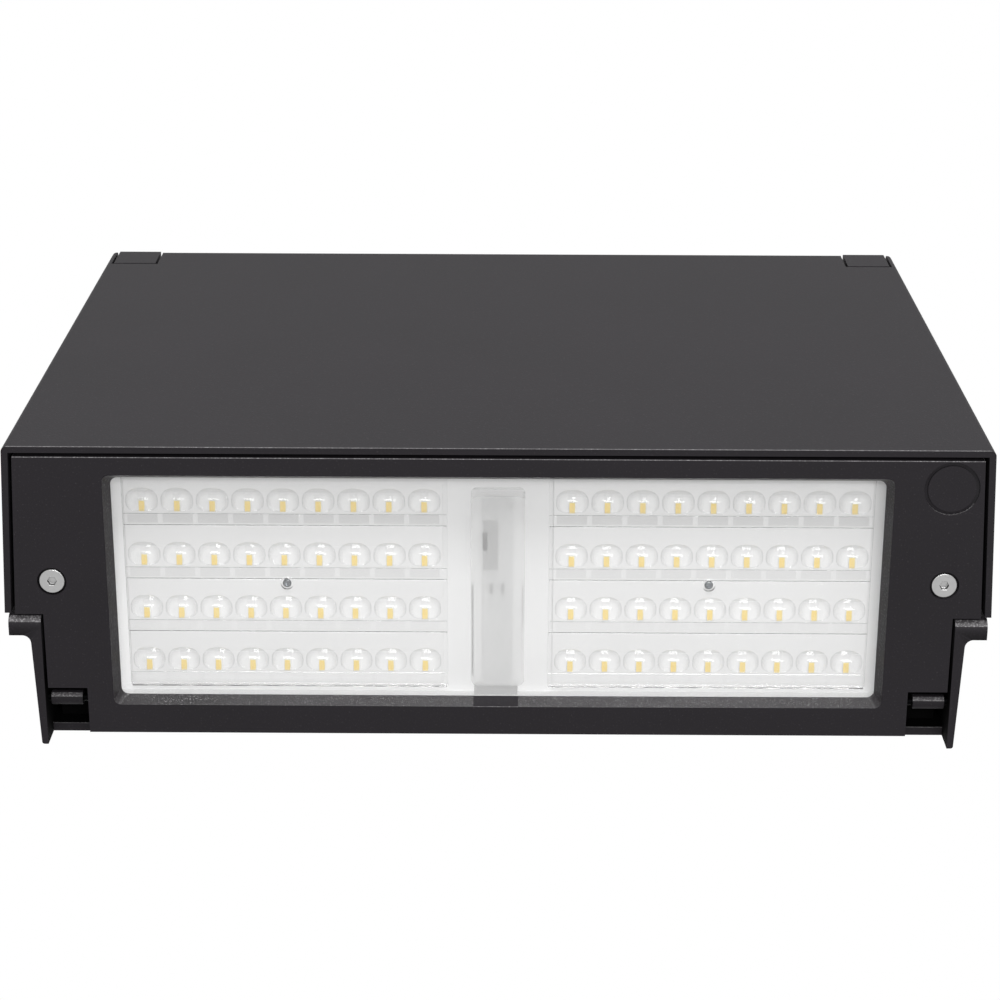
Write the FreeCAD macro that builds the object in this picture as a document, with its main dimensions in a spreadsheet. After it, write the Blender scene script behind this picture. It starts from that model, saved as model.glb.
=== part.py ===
"""Full cut-off LED wall pack: a cast back box on the wall, a cast hood hinged on two
arms at the top, and a lens door with the LED boards hinged at the lower rear corners.

Frame: origin in the wall plane at mid height, +Z up, -Y out of the wall, millimetres.
Depths are counted back from the front face and heights up from the bottom face.
"""
import FreeCAD, Part
import os
import re
import Sketcher

DIMS = [
    # overall
    ("housing_width", 457.0), ("housing_height", 342.0), ("overall_depth", 151.5),
    # hood casting
    ("skirt_depth", 83.0), ("skirt_flare", 3.6), ("hood_wall", 3.0), ("hood_rounding", 2.5),
    ("rib_thickness", 2.0), ("rib_depth", 6.0), ("rib_pitch", 105.0), ("rib_margin", 60.0),
    # back box casting
    ("lip_gap", 2.0), ("lip_depth", 9.6), ("lip_inset", 1.25), ("lip_rounding", 5.0),
    ("box_inset", 9.65), ("box_draft", 2.6), ("box_wall", 3.0), ("back_plate", 4.5),
    ("back_plate_rise", 14.6), ("box_fillet", 4.0), ("seal_width", 4.0), ("seal_thickness", 2.3),
    ("seal_groove", 1.5), ("seal_end", 5.5), ("wall_seal_width", 8.0), ("wall_seal_depth", 2.0),
    ("wall_seal_margin", 18.0), ("tip_rounding", 1.2),
    # top hinge arms and pins
    ("arm_inset", 16.25), ("arm_width", 23.9), ("arm_height", 25.0), ("arm_wall", 3.6),
    ("arm_gap", 1.5), ("hood_axis_setback", 7.0), ("hood_axis_drop", 11.0),
    ("hood_pin_radius", 2.5), ("lug_width", 6.5), ("lug_reach", 7.0), ("lug_drop", 9.0),
    ("blind_wall", 1.3),
    # lens door casting
    ("door_gap", 1.9), ("door_plate", 6.0), ("door_rim_height", 12.0), ("door_rim", 3.0),
    ("door_back_gap", 6.5), ("door_step_gap", 1.4), ("door_arm_gap", 1.6),
    ("chamber_height", 19.1), ("chamber_wall", 5.4), ("chamber_front_wall", 3.2),
    ("badge_radius", 12.9), ("badge_groove", 1.7), ("badge_groove_depth", 1.3),
    ("badge_inset", 19.1), ("badge_setback", 18.5),
    # window and lens
    ("window_side", 45.5), ("window_front", 13.8), ("window_back", 21.1), ("bevel", 3.0),
    ("window_corner", 4.0), ("lens_seal", 1.0), ("lens_seal_setback", 1.0), ("lens_margin", 4.0),
    ("lens_glass_thickness", 3.0), ("fit_gap", 0.3),
    # LED engine
    ("pan_wall", 1.5), ("pan_floor", 1.0), ("sink_base", 4.0), ("fin_height", 18.0),
    ("fin_thickness", 2.0), ("fin_margin", 10.0), ("fin_count", 25), ("fin_inset", 4.0),
    ("sink_screw_inset", 20.0), ("board_thickness", 1.6), ("led_columns", 9), ("led_rows", 4),
    ("led_first_column", 34.7), ("led_first_row", 33.6), ("led_side_margin", 15.82),
    ("led_back_margin", 15.29), ("led_size", 3.4), ("led_height", 0.9), ("led_pocket", 5.0),
    ("led_pocket_depth", 1.2), ("board_margin", 8.5), ("board_front", 18.0), ("board_back", 4.4),
    ("optic_plate", 1.5), ("dome_width", 14.8), ("dome_length", 12.4),
    ("dome_height", 4.3), ("dome_setback", 2.0), ("dome_flat", 3.4), ("bar_offset", 5.2),
    ("bar_length", 5.0), ("bar_height", 1.6), ("cover_width", 25.4), ("cover_front", 21.5),
    ("cover_back", 6.4), ("cover_wall", 1.2), ("cover_height", 7.3), ("cover_corner", 3.0),
    ("connector_width", 7.0), ("connector_length", 24.0), ("connector_height", 4.5),
    ("connector_front", 41.0), ("board_screw_shift", 0.9), ("board_screw_back", 11.2),
    ("board_screw_head", 2.2), ("board_screw_shank", 1.4), ("board_screw_lift", 1.4),
    ("board_screw_bite", 2.1),
    # captive screws and their brackets
    ("captive_inset", 6.6), ("captive_setback", 67.0), ("captive_head", 5.95),
    ("captive_head_height", 2.8), ("captive_sink", 0.4), ("captive_recess", 6.9),
    ("captive_shank", 2.4), ("captive_length", 17.3), ("captive_tip", 1.2), ("captive_socket", 2.2),
    ("captive_socket_depth", 1.8), ("captive_hole", 3.3), ("captive_thread", 3.0),
    ("thread_mouth", 1.0), ("captive_travel", 7.5), ("retainer_radius", 4.6), ("retainer_thickness", 1.0),
    ("bracket_rise", 17.0), ("bracket_thickness", 3.0), ("bracket_width", 12.6),
    ("bracket_nose", 9.0), ("bracket_back", 18.2), ("bracket_flange", 24.0),
    ("bracket_height", 28.0), ("bracket_nut", 6.4), ("bracket_nut_height", 9.0),
    ("bracket_screw_pitch", 12.0), ("bracket_screw_rise", 16.8), ("bracket_screw_shank", 2.0),
    ("bracket_screw_head", 3.8), ("bracket_screw_bite", 1.8),
    # door hinges
    ("door_axis_back", 21.3), ("door_axis_rise", 8.0), ("knuckle_gap", 1.9),
    ("knuckle_length", 14.9), ("knuckle_radius", 3.6), ("knuckle_web", 6.0), ("web_rise", 24.0),
    ("web_inset", 1.0), ("door_pin_radius", 2.0), ("notch_gap", 3.5), ("notch_reach", 8.4),
    ("pin_depth", 7.5), ("pin_seat", 1.2), ("running_gap", 0.05), ("seat_gap", 0.02),
    # wall interface
    ("lag_pitch_x", 330.0), ("lag_pitch_z", 200.0), ("lag_hole", 3.5), ("outlet_pitch", 88.9),
    ("outlet_hole", 2.6), ("wire_entry_radius", 11.1), ("conduit_radius", 10.4),
    ("conduit_boss", 15.0), ("conduit_boss_length", 9.0), ("conduit_back", 32.5),
    ("plug_length", 11.0), ("plug_socket", 5.0), ("plug_socket_depth", 6.0),
    # electrical parts
    ("tray_width", 250.0), ("tray_height", 104.0), ("tray_drop", 33.0), ("tray_thickness", 1.5),
    ("tray_standoff", 11.0), ("tray_flange", 14.0), ("standoff_radius", 5.0), ("tray_inset", 9.0),
    ("driver_length", 210.0), ("driver_width", 64.0), ("driver_depth", 32.0), ("driver_foot", 12.0),
    ("driver_foot_thickness", 2.0), ("driver_lift", 17.0), ("surge_width", 56.0),
    ("surge_height", 48.0), ("surge_depth", 30.0), ("surge_x", -150.0), ("surge_rise", 78.0),
    ("terminal_width", 60.0), ("terminal_height", 24.0), ("terminal_depth", 20.0),
    ("terminal_x", 90.0), ("terminal_foot_height", 90.0), ("terminal_count", 3), ("terminal_well", 4.8),
    ("ground_x", 55.0), ("ground_height", 102.0), ("screw_shank", 2.0), ("screw_head", 3.8),
    ("screw_head_height", 2.4), ("screw_bite", 6.0),
    # overlaps inside one piece
    ("weld", 0.5), ("overrun", 1.0),
]
ALIASES = {alias for alias, _ in DIMS}
HALF = "housing_width/2"
SAME = 0.01
UPRIGHT = FreeCAD.Rotation()
ALONG_X = FreeCAD.Rotation(FreeCAD.Vector(0, 1, 0), 90)
ALONG_Y = FreeCAD.Rotation(FreeCAD.Vector(1, 0, 0), -90)

doc = FreeCAD.newDocument("wall_pack")
sheet = doc.addObject("Spreadsheet::Sheet", "dims")
for row, (alias, value) in enumerate(DIMS, 1):
    sheet.set(f"A{row}", alias)
    sheet.set(f"B{row}", str(value))
    sheet.setAlias(f"B{row}", alias)
doc.recompute()
nodes = []


def size(alias):
    """the value of one named size"""
    return float(sheet.get(alias))


def bind(obj, prop, text):
    """tie a property to a formula of named sizes"""
    words = re.sub(r"[a-z_]{3,}", lambda m: "dims." + m[0] if m[0] in ALIASES else m[0], text)
    obj.setExpression(prop, words)


def back(depth):
    """row Y of a depth behind the front face"""
    return f"({depth}) - overall_depth"


def up(height):
    """row Z of a height above the bottom face"""
    return f"({height}) - housing_height/2"


def mirror(side, low, high):
    """a span on the right, or the same span mirrored to the left"""
    return (low, high) if side > 0 else (f"-({high})", f"-({low})")


def place(obj, x, y, z, rotation=UPRIGHT):
    obj.Placement = FreeCAD.Placement(FreeCAD.Vector(), rotation)
    for axis, text in zip("xyz", (x, y, z)):
        bind(obj, f"Placement.Base.{axis}", text)
    return obj


def block(name, xs, ys, zs):
    """a box between two corners, each span a pair of formulas"""
    obj = doc.addObject("Part::Box", name)
    for prop, (low, high) in zip(("Length", "Width", "Height"), (xs, ys, zs)):
        bind(obj, prop, f"({high}) - ({low})")
    return place(obj, xs[0], ys[0], zs[0])


def rod(name, radius, length, x, y, z, rotation=UPRIGHT):
    """a cylinder from a point along the turned Z axis"""
    obj = doc.addObject("Part::Cylinder", name)
    bind(obj, "Radius", radius)
    bind(obj, "Height", length)
    return place(obj, x, y, z, rotation)


def frustum(name, near, far, y, z="0", rotation=UPRIGHT):
    """a tapered block: near and far are (x low, x high, z low, z high, y)"""
    obj = doc.addObject("Part::Wedge", name)
    for prop, text in zip(("Xmin", "Xmax", "Zmin", "Zmax", "Ymin"), near):
        bind(obj, prop, text)
    for prop, text in zip(("X2min", "X2max", "Z2min", "Z2max", "Ymax"), far):
        bind(obj, prop, text)
    return place(obj, "0", y, z, rotation)


def cut(name, base, *tools):
    obj = doc.addObject("Part::Cut", name)
    obj.Base = base
    obj.Tool = tools[0] if len(tools) == 1 else fuse(name + "_tools", *tools)
    return obj


def fuse(name, *pieces):
    obj = doc.addObject("Part::MultiFuse", name)
    obj.Shapes = list(pieces)
    return obj


def group(name, pieces):
    obj = doc.addObject("Part::Compound", name)
    obj.Links = list(pieces)
    return obj


def rounded(name, base, radius, wanted):
    """a fillet on the edges whose middle the test picks"""
    doc.recompute()
    obj = doc.addObject("Part::Fillet", name)
    obj.Base = base
    edges = [i for i, edge in enumerate(base.Shape.Edges, 1) if wanted(edge)]
    obj.Edges = [(i, size(radius), size(radius)) for i in edges]
    return obj


def leans(edge):
    """true for an edge that isn't level"""
    return abs(edge.tangentAt(edge.FirstParameter).z) > SAME


def node(obj, label):
    """keep an object as a finished piece under its own name"""
    obj.Label = label
    nodes.append(obj)
    return obj


def origin_plane(body, role):
    return next(p for p in body.Origin.OriginFeatures if p.Role == role)


def outline(body, name, plane, points, offset="0"):
    """a closed sketch of straight edges, each corner tied to two formulas"""
    sketch = body.newObject("Sketcher::SketchObject", name)
    sketch.AttachmentSupport = [(origin_plane(body, plane), "")]
    sketch.MapMode = "FlatFace"
    bind(sketch, "AttachmentOffset.Base.z", offset)
    count = len(points)
    for i in range(count):
        sketch.addGeometry(Part.LineSegment(FreeCAD.Vector(i, i * i, 0),
                                            FreeCAD.Vector(i + 1, (i + 1) ** 2, 0)))
    for i in range(count):
        sketch.addConstraint(Sketcher.Constraint("Coincident", i, 2, (i + 1) % count, 1))
    for i, corner in enumerate(points):
        for kind, text in zip(("DistanceX", "DistanceY"), corner):
            index = sketch.addConstraint(Sketcher.Constraint(kind, -1, 1, i, 1, 1.0))
            bind(sketch, f"Constraints[{index}]", text)
    return sketch


def pad(body, name, sketch, length):
    obj = body.newObject("PartDesign::Pad", name)
    obj.Profile = sketch
    bind(obj, "Length", length)
    return obj


# ---------------------------------------------------------------- shared places
ARM_IN = f"{HALF} - arm_inset - arm_width/2"
ARM_OUT = f"{HALF} - arm_inset + arm_width/2"
BOX_REAR = "housing_width/2 + skirt_flare - lip_inset - box_inset - box_draft"
BOX_IN = f"{BOX_REAR} - box_wall"
LIP_OUT = "housing_width/2 + skirt_flare - lip_inset"
LIP_FRONT = "skirt_depth + lip_gap"
PLATE_FRONT = "overall_depth - back_plate"
HOOD_AXIS = (back("hood_axis_setback"), up("housing_height - hood_axis_drop"))
DOOR_PIVOT = "(overall_depth - door_axis_back)"
DOOR_AXIS = (back(DOOR_PIVOT), up("door_axis_rise"))
KNUCKLE_OUT = f"{BOX_IN} - knuckle_gap"
KNUCKLE_IN = f"{KNUCKLE_OUT} - knuckle_length"
NOTCH = f"{KNUCKLE_IN} - notch_gap"
NOTCH_FRONT = f"{DOOR_PIVOT} - notch_reach"
CAPTIVE_X = f"({BOX_IN} - captive_inset)"
BRACKET_REAR = f"{DOOR_PIVOT} - bracket_back"
CONDUIT = back("overall_depth - conduit_back")
PLUG_OUT = (f"{BOX_REAR} + box_draft*conduit_back/(overall_depth - skirt_depth - lip_gap)"
            " - fit_gap")
WINDOW_HALF = f"({HALF} - window_side)"
WINDOW_REAR = "(overall_depth - window_back)"
CHAMBER = f"{WINDOW_HALF} - bevel + lens_margin + 2*fit_gap"
CHAMBER_FRONT = "window_front + bevel - lens_margin - 2*fit_gap"
CHAMBER_REAR = f"{WINDOW_REAR} - bevel + lens_margin + 2*fit_gap"
LENS = f"{CHAMBER} - fit_gap"
LENS_FRONT = f"{CHAMBER_FRONT} + fit_gap"
LENS_REAR = f"{CHAMBER_REAR} - fit_gap"
LENS_LOW = "door_plate + lens_seal"
LENS_HIGH = f"{LENS_LOW} + lens_glass_thickness"
BOARD_LOW = "chamber_height - pan_floor - board_thickness"
BOARD_IN = "led_first_column - board_margin"
BOARD_OUT = f"{WINDOW_HALF} - led_side_margin + board_margin"
LED_PITCH = f"({WINDOW_HALF} - led_side_margin - led_first_column)/(led_columns - 1)"
LED_ROW_PITCH = f"({WINDOW_REAR} - led_back_margin - led_first_row)/(led_rows - 1)"
BOARD_SCREW_X = f"(({WINDOW_HALF} - led_side_margin + led_first_column)/2 - board_screw_shift)"
BOARD_SCREW_BACK = f"led_first_row + {LED_ROW_PITCH} + board_screw_back"
TRAY_RISE = "housing_height - tray_drop - tray_height"
DRIVER_RISE = f"{TRAY_RISE} + driver_lift"


# ---------------------------------------------------------------- hood
def make_hood():
    """front plate, flared side skirts and top wall in one casting"""
    top = up("housing_height")
    outer = frustum("hood_outer",
                    (f"-{HALF}", HALF, up("0"), top, "0"),
                    (f"-{HALF} - skirt_flare", f"{HALF} + skirt_flare", up("0"), top, "skirt_depth"),
                    back("0"))
    front = -size("overall_depth")
    near_front = lambda e: (abs(e.CenterOfMass.y - front) < SAME
                            and e.CenterOfMass.z > SAME - size("housing_height") / 2)
    roof_sides = lambda e: (e.CenterOfMass.z > size("housing_height") / 2 - SAME
                            and abs(e.CenterOfMass.x) > SAME)
    soft = rounded("hood_soft", outer, "hood_rounding", lambda e: near_front(e) or roof_sides(e))
    hollow = frustum("hood_hollow",
                     (f"-{HALF} + hood_wall", f"{HALF} - hood_wall", up("-overrun"),
                      up("housing_height - hood_wall"), "hood_wall"),
                     (f"-{HALF} + hood_wall - skirt_flare", f"{HALF} - hood_wall + skirt_flare",
                      up("-overrun"), up("housing_height - hood_wall"), "skirt_depth"),
                     back("0"))
    shell = cut("hood_shell", soft, hollow)
    adds = [shell]
    cuts = []
    for side, tag in ((1, "right"), (-1, "left")):
        adds.append(block(f"hood_lug_{tag}",
                          mirror(side, f"{ARM_IN} - arm_gap - lug_width", f"{ARM_IN} - arm_gap"),
                          (back("hood_wall - weld"), back("hood_axis_setback + lug_reach")),
                          (up("housing_height - hood_axis_drop - lug_drop"),
                           up("housing_height - hood_wall + weld"))))
        cuts.append(block(f"hood_arm_slot_{tag}",
                          mirror(side, f"{ARM_IN} - arm_gap", f"{HALF} - hood_wall"),
                          (back("-overrun"), back("skirt_depth + overrun")),
                          (up("housing_height - arm_height - arm_gap"),
                           up("housing_height + overrun"))))
        low, high = mirror(side, f"{ARM_IN} - arm_gap - lug_width - overrun", f"{HALF} - blind_wall")
        cuts.append(rod(f"hood_pin_bore_{tag}", "hood_pin_radius + running_gap",
                        f"({high}) - ({low})", low, *HOOD_AXIS, ALONG_X))
    for i in (-1, 0, 1):
        adds.append(block(f"hood_rib_{i + 1}",
                          (f"{i}*rib_pitch - rib_thickness/2", f"{i}*rib_pitch + rib_thickness/2"),
                          (back("hood_wall - weld"), back("hood_wall + rib_depth")),
                          (up("rib_margin"), up("housing_height - rib_margin"))))
    node(cut("hood", fuse("hood_with_lugs", *adds), *cuts), "front_housing")


# ---------------------------------------------------------------- back box
def make_back_box():
    """back plate, drafted side and top walls, lip, top arms and hinge knuckles"""
    top_in = "housing_height - box_inset - box_draft - box_wall"
    outer = frustum("box_outer",
                    (f"-({BOX_REAR} + box_draft)", f"{BOX_REAR} + box_draft", up("0"),
                     up("housing_height - box_inset"), "0"),
                    (f"-({BOX_REAR})", BOX_REAR, up("0"),
                     up("housing_height - box_inset - box_draft"),
                     "overall_depth - skirt_depth - lip_gap"),
                    back(LIP_FRONT))
    lip = block("box_lip", (f"-({LIP_OUT})", LIP_OUT),
                (back(LIP_FRONT), back(f"{LIP_FRONT} + lip_depth")), (up("0"), up("housing_height")))
    lip_front = size("skirt_depth") + size("lip_gap") - size("overall_depth")
    wide, tall = size("housing_width") / 2, size("housing_height") / 2 - SAME
    shell = fuse("box_walls", outer, lip)
    inside_corner = lambda e: (abs(e.CenterOfMass.y - lip_front - size("lip_depth")) < SAME
                               and abs(e.CenterOfMass.x) < wide and abs(e.CenterOfMass.z) < tall)
    soft = rounded("box_soft_corner", shell, "box_fillet", inside_corner)
    crest = lambda e: abs(e.CenterOfMass.y - lip_front) < SAME and e.CenterOfMass.z < -tall
    crest_round = rounded("box_soft_lip", soft, "lip_rounding", crest)
    tip = lambda e: abs(e.CenterOfMass.y) < SAME and abs(e.CenterOfMass.x) > wide / 2
    tip_round = rounded("box_soft_tips", crest_round, "tip_rounding", tip)
    hollow = block("box_hollow", (f"-({BOX_IN})", BOX_IN),
                   (back(f"{LIP_FRONT} - overrun"), back(PLATE_FRONT)), (up("-overrun"), up(top_in)))
    under = block("box_under", (f"-({BOX_IN})", BOX_IN),
                  (back(f"{PLATE_FRONT} - overrun"), back("overall_depth + overrun")),
                  (up("-overrun"), up("back_plate_rise")))
    base = cut("box_base", tip_round, hollow, under)
    adds = [base]
    for side, tag in ((1, "right"), (-1, "left")):
        adds += box_arm(side, tag) + box_knuckle(side, tag)
        low, high = mirror(side, f"{BOX_IN} - conduit_boss_length", f"{BOX_IN} + weld")
        adds.append(rod(f"conduit_boss_{tag}", "conduit_boss", f"({high}) - ({low})",
                        low, CONDUIT, "0", ALONG_X))
    for i, (x, rise) in enumerate(tray_corners()):
        adds.append(rod(f"tray_standoff_{i}", "standoff_radius", "tray_standoff + weld",
                        x, back(f"{PLATE_FRONT} - tray_standoff"), up(rise), ALONG_Y))
    adds.append(rod("ground_boss", "standoff_radius", "screw_bite + weld", "ground_x",
                    back(f"{PLATE_FRONT} - screw_bite"), up("ground_height"), ALONG_Y))
    node(cut("box", fuse("box_with_bosses", *adds), *box_holes()), "back_box")


def box_arm(side, tag):
    """a channel-shaped arm whose closed end lies flush in the hood's front plate"""
    xs = mirror(side, ARM_IN, ARM_OUT)
    beam = block(f"arm_beam_{tag}", xs, (back("0"), back(f"{LIP_FRONT} + lip_depth")),
                 (up("housing_height - arm_height"), up("housing_height")))
    channel = block(f"arm_channel_{tag}",
                    mirror(side, f"{ARM_IN} + arm_wall", f"{ARM_OUT} - arm_wall"),
                    (back("arm_wall"), back(LIP_FRONT)),
                    (up("housing_height - arm_height - overrun"), up("housing_height - arm_wall")))
    return [cut(f"arm_{tag}", beam, channel)]


def box_knuckle(side, tag):
    """the lower hinge barrel and the cranked web that carries it from the back plate"""
    low, high = mirror(side, KNUCKLE_IN, KNUCKLE_OUT)
    barrel = rod(f"knuckle_{tag}", "knuckle_radius", f"({high}) - ({low})", low, *DOOR_AXIS, ALONG_X)
    xs = mirror(side, f"{KNUCKLE_IN} + web_inset", f"{KNUCKLE_OUT} - web_inset")
    ys = (f"{DOOR_PIVOT} - knuckle_web/2", f"{DOOR_PIVOT} + knuckle_web/2")
    riser = block(f"knuckle_riser_{tag}", xs, (back(ys[0]), back(ys[1])),
                  (up("door_axis_rise"), up("web_rise + knuckle_web")))
    shelf = block(f"knuckle_shelf_{tag}", xs, (back(ys[0]), back(f"{PLATE_FRONT} + weld")),
                  (up("web_rise"), up("web_rise + knuckle_web")))
    return [barrel, riser, shelf]


def box_holes():
    """mounting holes, wire entry, pin and screw holes and seal grooves"""
    through = ("back_plate + 2*overrun", back(f"{PLATE_FRONT} - overrun"))
    holes = [rod("wire_entry", "wire_entry_radius", through[0], "0", through[1], "0", ALONG_Y)]
    for side, tag in ((1, "right"), (-1, "left")):
        holes.append(rod(f"outlet_hole_{tag}", "outlet_hole", through[0], f"{side}*outlet_pitch/2",
                         through[1], "0", ALONG_Y))
        for level in (1, -1):
            holes.append(rod(f"lag_hole_{tag}_{level + 1}", "lag_hole", through[0],
                             f"{side}*lag_pitch_x/2", through[1], f"{level}*lag_pitch_z/2", ALONG_Y))
        low, high = mirror(side, f"{KNUCKLE_IN} - overrun", f"{BOX_IN} + pin_seat + fit_gap")
        holes.append(rod(f"door_pin_hole_{tag}", "door_pin_radius + seat_gap", f"({high}) - ({low})",
                         low, *DOOR_AXIS, ALONG_X))
        low, high = mirror(side, f"{ARM_IN} - overrun", f"{ARM_OUT} + overrun")
        holes.append(rod(f"hood_pin_hole_{tag}", "hood_pin_radius + seat_gap", f"({high}) - ({low})",
                         low, *HOOD_AXIS, ALONG_X))
        low, high = mirror(side, f"{BOX_IN} - conduit_boss_length - overrun",
                           f"{BOX_REAR} + box_draft + overrun")
        holes.append(rod(f"conduit_hole_{tag}", "conduit_radius", f"({high}) - ({low})",
                         low, CONDUIT, "0", ALONG_X))
        for i, (y, z) in enumerate(bracket_screw_places()):
            low, high = mirror(side, f"{BOX_IN} - overrun", f"{BOX_IN} + bracket_screw_bite + fit_gap")
            holes.append(rod(f"bracket_hole_{tag}_{i}", "bracket_screw_shank + seat_gap",
                             f"({high}) - ({low})", low, y, z, ALONG_X))
        holes.append(block(f"seal_groove_{tag}", mirror(side, *seal_span()),
                           (back(f"{LIP_FRONT} - overrun"), back(f"{LIP_FRONT} + seal_groove")),
                           (up("seal_end"), up("housing_height - arm_height - seal_end"))))
    holes.append(block("seal_groove_top", (f"-({ARM_IN}) + seal_end", f"{ARM_IN} - seal_end"),
                       (back(f"{LIP_FRONT} - overrun"), back(f"{LIP_FRONT} + seal_groove")),
                       (up(f"housing_height - {seal_inset()} - seal_width"),
                        up(f"housing_height - {seal_inset()}"))))
    for i, (x, rise) in enumerate(tray_corners() + [("ground_x", "ground_height")]):
        reach = "tray_standoff" if i < 4 else "screw_bite"
        holes.append(rod(f"plate_screw_hole_{i}", "screw_shank + seat_gap",
                         "screw_bite + overrun + fit_gap", x,
                         back(f"{PLATE_FRONT} - {reach} - overrun"), up(rise), ALONG_Y))
    holes.append(wall_seal_ring("wall_seal_groove", "0", "overrun"))
    return holes


def seal_inset():
    return "(hood_wall + lip_inset)/2"


def seal_span():
    return (f"{LIP_OUT} - {seal_inset()} - seal_width", f"{LIP_OUT} - {seal_inset()}")


def wall_seal_ring(name, clearance, proud):
    """the rectangular ring of the wall seal, or of its groove"""
    spans = []
    for inset in (f"wall_seal_margin + {clearance}",
                  f"wall_seal_margin + wall_seal_width - {clearance}"):
        spans.append(((f"-({BOX_REAR}) + {inset}", f"{BOX_REAR} - ({inset})"),
                      (up(f"back_plate_rise + {inset}"),
                       up(f"housing_height - box_inset - box_draft - ({inset})"))))
    ys = (back("overall_depth - wall_seal_depth"), back(f"overall_depth + {proud}"))
    outer = block(name + "_outer", spans[0][0], ys, spans[0][1])
    inner = block(name + "_inner", spans[1][0], (f"{ys[0]} - overrun", f"{ys[1]} + overrun"), spans[1][1])
    return cut(name, outer, inner)


def tray_corners():
    """the four tray screws as (x, height) formulas"""
    x = "tray_width/2 - tray_inset"
    levels = (f"{TRAY_RISE} + tray_inset", f"{TRAY_RISE} + tray_height - tray_inset")
    return [(f"{side}*({x})", level) for side in (-1, 1) for level in levels]


def bracket_screw_places():
    """row Y and Z of the two screws in a bracket's flange"""
    middle = f"{BRACKET_REAR} - bracket_flange/2"
    return [(back(f"{middle} + {k}*bracket_screw_pitch/2"), up("bracket_rise + bracket_screw_rise"))
            for k in (-1, 1)]


def make_seals():
    node(wall_seal_ring("wall_seal", "seat_gap", "0"), "wall_gasket")
    ys = (back(f"{LIP_FRONT} + seal_groove - seal_thickness"), back(f"{LIP_FRONT} + seal_groove"))
    strips = []
    for side, tag in ((1, "right"), (-1, "left")):
        low, high = seal_span()
        strips.append(block(f"seal_strip_{tag}", mirror(side, f"{low} + seat_gap", f"{high} - seat_gap"),
                            ys, (up("seal_end + seat_gap"),
                                 up("housing_height - arm_height - seal_end - seat_gap"))))
    strips.append(block("seal_strip_top", (f"-({ARM_IN}) + seal_end + seat_gap",
                                           f"{ARM_IN} - seal_end - seat_gap"), ys,
                        (up(f"housing_height - {seal_inset()} - seal_width + seat_gap"),
                         up(f"housing_height - {seal_inset()} - seat_gap"))))
    node(group("seal_strips", strips), "housing_seal_strips")


# ---------------------------------------------------------------- pins, plugs and brackets
def make_pins():
    for side, tag in ((1, "right"), (-1, "left")):
        low, high = mirror(side, f"{ARM_IN} - arm_gap - lug_width", f"{HALF} - blind_wall - fit_gap")
        node(rod(f"hood_pin_{tag}", "hood_pin_radius", f"({high}) - ({low})", low, *HOOD_AXIS, ALONG_X),
             f"hood_hinge_pin_{tag}")
        low, high = mirror(side, f"{NOTCH} - pin_depth", f"{BOX_IN} + pin_seat")
        node(rod(f"door_pin_{tag}", "door_pin_radius", f"({high}) - ({low})", low, *DOOR_AXIS, ALONG_X),
             f"door_hinge_pin_{tag}")


def make_plugs():
    for side, tag in ((1, "right"), (-1, "left")):
        low, high = mirror(side, f"{PLUG_OUT} - plug_length", PLUG_OUT)
        core = rod(f"plug_core_{tag}", "conduit_radius - running_gap", f"({high}) - ({low})", low,
                   CONDUIT, "0", ALONG_X)
        low, high = mirror(side, f"{PLUG_OUT} - plug_socket_depth", f"{PLUG_OUT} + overrun")
        socket = doc.addObject("Part::Prism", f"plug_socket_{tag}")
        socket.Polygon = 6
        bind(socket, "Circumradius", "plug_socket")
        bind(socket, "Height", f"({high}) - ({low})")
        place(socket, low, CONDUIT, "0", ALONG_X)
        node(cut(f"plug_{tag}", core, socket), f"conduit_plug_{tag}")


def make_brackets():
    """steel angle brackets with the nuts that the captive screws enter"""
    screws = []
    for side, tag in ((1, "right"), (-1, "left")):
        xs = mirror(side, f"{BOX_IN} - bracket_width", BOX_IN)
        shelf = block(f"bracket_shelf_{tag}", xs,
                      (back("captive_setback - bracket_nose"), back(BRACKET_REAR)),
                      (up("bracket_rise"), up("bracket_rise + bracket_thickness")))
        flange = block(f"bracket_flange_{tag}", mirror(side, f"{BOX_IN} - bracket_thickness", BOX_IN),
                       (back(f"{BRACKET_REAR} - bracket_flange"), back(BRACKET_REAR)),
                       (up("bracket_rise"), up("bracket_rise + bracket_height")))
        x, y = f"{side}*{CAPTIVE_X}", back("captive_setback")
        nut = rod(f"bracket_nut_{tag}", "bracket_nut", "bracket_nut_height", x, y, up("bracket_rise"))
        thread = rod(f"bracket_thread_{tag}", "captive_thread", "bracket_nut_height + 2*overrun", x, y,
                     up("bracket_rise - overrun"))
        mouth = doc.addObject("Part::Cone", f"bracket_mouth_{tag}")
        bind(mouth, "Radius1", "captive_thread + thread_mouth")
        bind(mouth, "Radius2", "captive_thread")
        bind(mouth, "Height", "thread_mouth")
        place(mouth, x, y, up("bracket_rise"))
        cuts = [thread, mouth]
        for i, (sy, sz) in enumerate(bracket_screw_places()):
            low, high = mirror(side, f"{BOX_IN} - bracket_thickness - overrun", f"{BOX_IN} + overrun")
            cuts.append(rod(f"bracket_clear_{tag}_{i}", "bracket_screw_shank + seat_gap",
                            f"({high}) - ({low})", low, sy, sz, ALONG_X))
            screws.append(side_screw(f"bracket_screw_{tag}_{i}", side, sy, sz))
        node(cut(f"bracket_{tag}", fuse(f"bracket_blank_{tag}", shelf, flange, nut), *cuts),
             f"latch_bracket_{tag}")
    node(group("bracket_screw_set", screws), "bracket_screws")


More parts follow.
